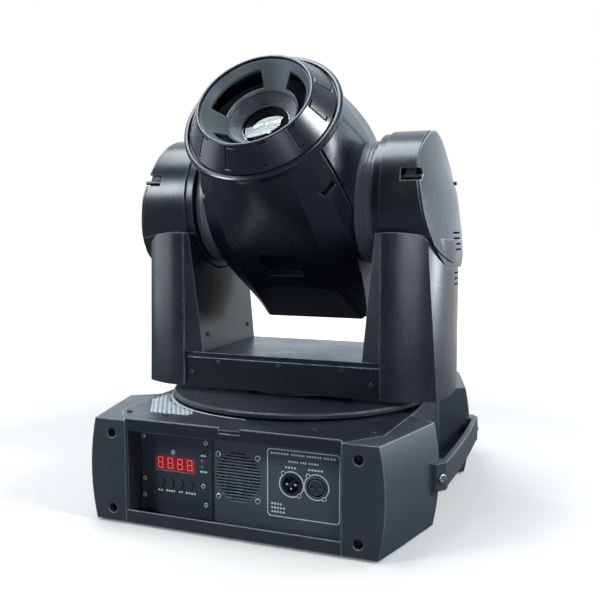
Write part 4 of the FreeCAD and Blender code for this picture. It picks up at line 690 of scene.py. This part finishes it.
def vent_mesh(material):
    """Perforated steel over the vent holes, in the front left corner and in the rear right one."""
    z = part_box("side_cover_left")[1].z
    clear_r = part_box("turntable_disc")[1].x + 6 * MM
    pitch, hole_r, rows, columns = 6.4 * MM, 1.9 * MM, 26, 14
    first_x, first_y = 78 * MM, 50 * MM
    far_x, far_y = -0.163, -0.182
    slant_x, slant_y, slope = -0.158, -0.132, 0.63      # the corner's slanting edge
    bm = bmesh.new()
    for row in range(rows):
        for column in range(columns):
            x = -(first_x + column * pitch + (row % 2) * pitch / 2)
            y = -(first_y + row * pitch * math.sqrt(3) / 2)
            in_corner = x > slant_x + (slant_y - y) * slope and x > far_x and y > far_y
            if in_corner and math.hypot(x, y) > clear_r:
                for end in (1, -1):
                    perforated_cell(bm, end * x, end * y, z, pitch / math.sqrt(3), hole_r)
    bmesh.ops.remove_doubles(bm, verts=bm.verts, dist=0.02 * MM)
    new_piece("vent_mesh", bm, material, "base")


def perforated_cell(bm, x, y, z, cell_r, hole_r, thick=0.12 * MM, steps=12):
    """One six-sided cell of perforated sheet with a round hole, open where it meets the next."""
    outer, inner = [], []
    for i in range(steps):
        a = math.radians(30 + 360 * i / steps)
        reach = cell_r if i % 2 == 0 else cell_r * math.cos(math.pi / 6)
        outer.append((x + reach * math.cos(a), y + reach * math.sin(a)))
        inner.append((x + hole_r * math.cos(a), y + hole_r * math.sin(a)))
    rows = [[bm.verts.new((px, py, h)) for px, py in line]
            for line, h in ((outer, z + thick), (inner, z + thick), (inner, z), (outer, z))]
    for upper, lower in zip(rows, rows[1:]):
        band(bm, upper, lower)


def paint_opening_highlight(material):
    """Painted highlight on the edge of the round opening beside the vent: a bright strip flat on
    the plate, with tapered ends, only along the arc where the highlight falls.
    """
    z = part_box("side_cover_left")[1].z
    inner_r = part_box("turntable_disc")[1].x + 1.0 * MM
    first, last, steps = 196.0, 269.0, 90               # degrees from X, and how many pieces
    width, thick = 4.2 * MM, 0.3 * MM
    first_taper, least_taper = 0.15, 0.04
    bm = bmesh.new()
    rows = [[], [], [], []]
    for i in range(steps + 1):
        t = i / steps
        a = math.radians(first + (last - first) * t)
        taper = math.sin(math.pi * min(1.0, first_taper + (1 - first_taper) * t))
        outer_r = inner_r + width * max(least_taper, taper)
        section = ((inner_r, z), (inner_r, z + thick), (outer_r, z + thick), (outer_r, z))
        for row, (r, h) in zip(rows, section):
            row.append(bm.verts.new((r * math.cos(a), r * math.sin(a), h)))
    for lower, upper in zip(rows, rows[1:] + rows[:1]):
        for i in range(steps):
            bm.faces.new((lower[i], lower[i + 1], upper[i + 1], upper[i]))
    for end in (0, -1):
        bm.faces.new([row[end] for row in rows])
    new_piece("painted_opening_highlight", bm, material, "base")


def paint_lip_highlights():
    """Painted highlights: pale strips along the front edges of the top plate's hem and of the lower
    lip.
    """
    lip_highlight = coated("painted_lip_highlight", (0.26, 0.31, 0.35), 0.36, 1900.0, 0.2)
    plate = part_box("base_top_plate")
    front, hem_z = plate[0].y, plate[1].z
    lip_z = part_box("front_panel")[0].z + 12.6 * MM
    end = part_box("base_chassis")[1].x - 1.5 * MM
    notch_left, notch_right = -11.5 * MM, 15.5 * MM
    thick = 0.1 * MM
    strips = ((-end, notch_left, hem_z, 0.9, 1.9), (notch_right, end, hem_z, 0.9, 1.9),
              (-end, end, lip_z, 0.1, 1.7))             # the last two in mm behind the front
    bm = bmesh.new()
    for x0, x1, z, y0, y1 in strips:
        corners = ((x0, y0), (x1, y0), (x1, y1), (x0, y1))
        low = [bm.verts.new((x, front + y * MM, z)) for x, y in corners]
        high = [bm.verts.new((v.co.x, v.co.y, z + thick)) for v in low]
        bm.faces.new(low)
        bm.faces.new(high)
        band(bm, low, high)
    new_piece("painted_lip_highlight_strips", bm, lip_highlight, "base")


bpy.context.scene.view_settings.view_transform = "Standard"
make_camera()
make_world()
make_lights()
make_floor()
finishes = finish_cad_nodes()
panel_print()
display_digits()
contact_pins(finishes["bright_screws"])
# pale steel for the vent mesh: partly the steel's own colour, partly a painted reflection that
# brightens it
steel_with_painted_sheen = metal("steel_with_painted_sheen", (0.62, 0.67, 0.71), 0.34, tarnish=0.8, metallic=0.35)
vent_mesh(steel_with_painted_sheen)
paint_opening_highlight(finishes["bright_screws"])
paint_lip_highlights()
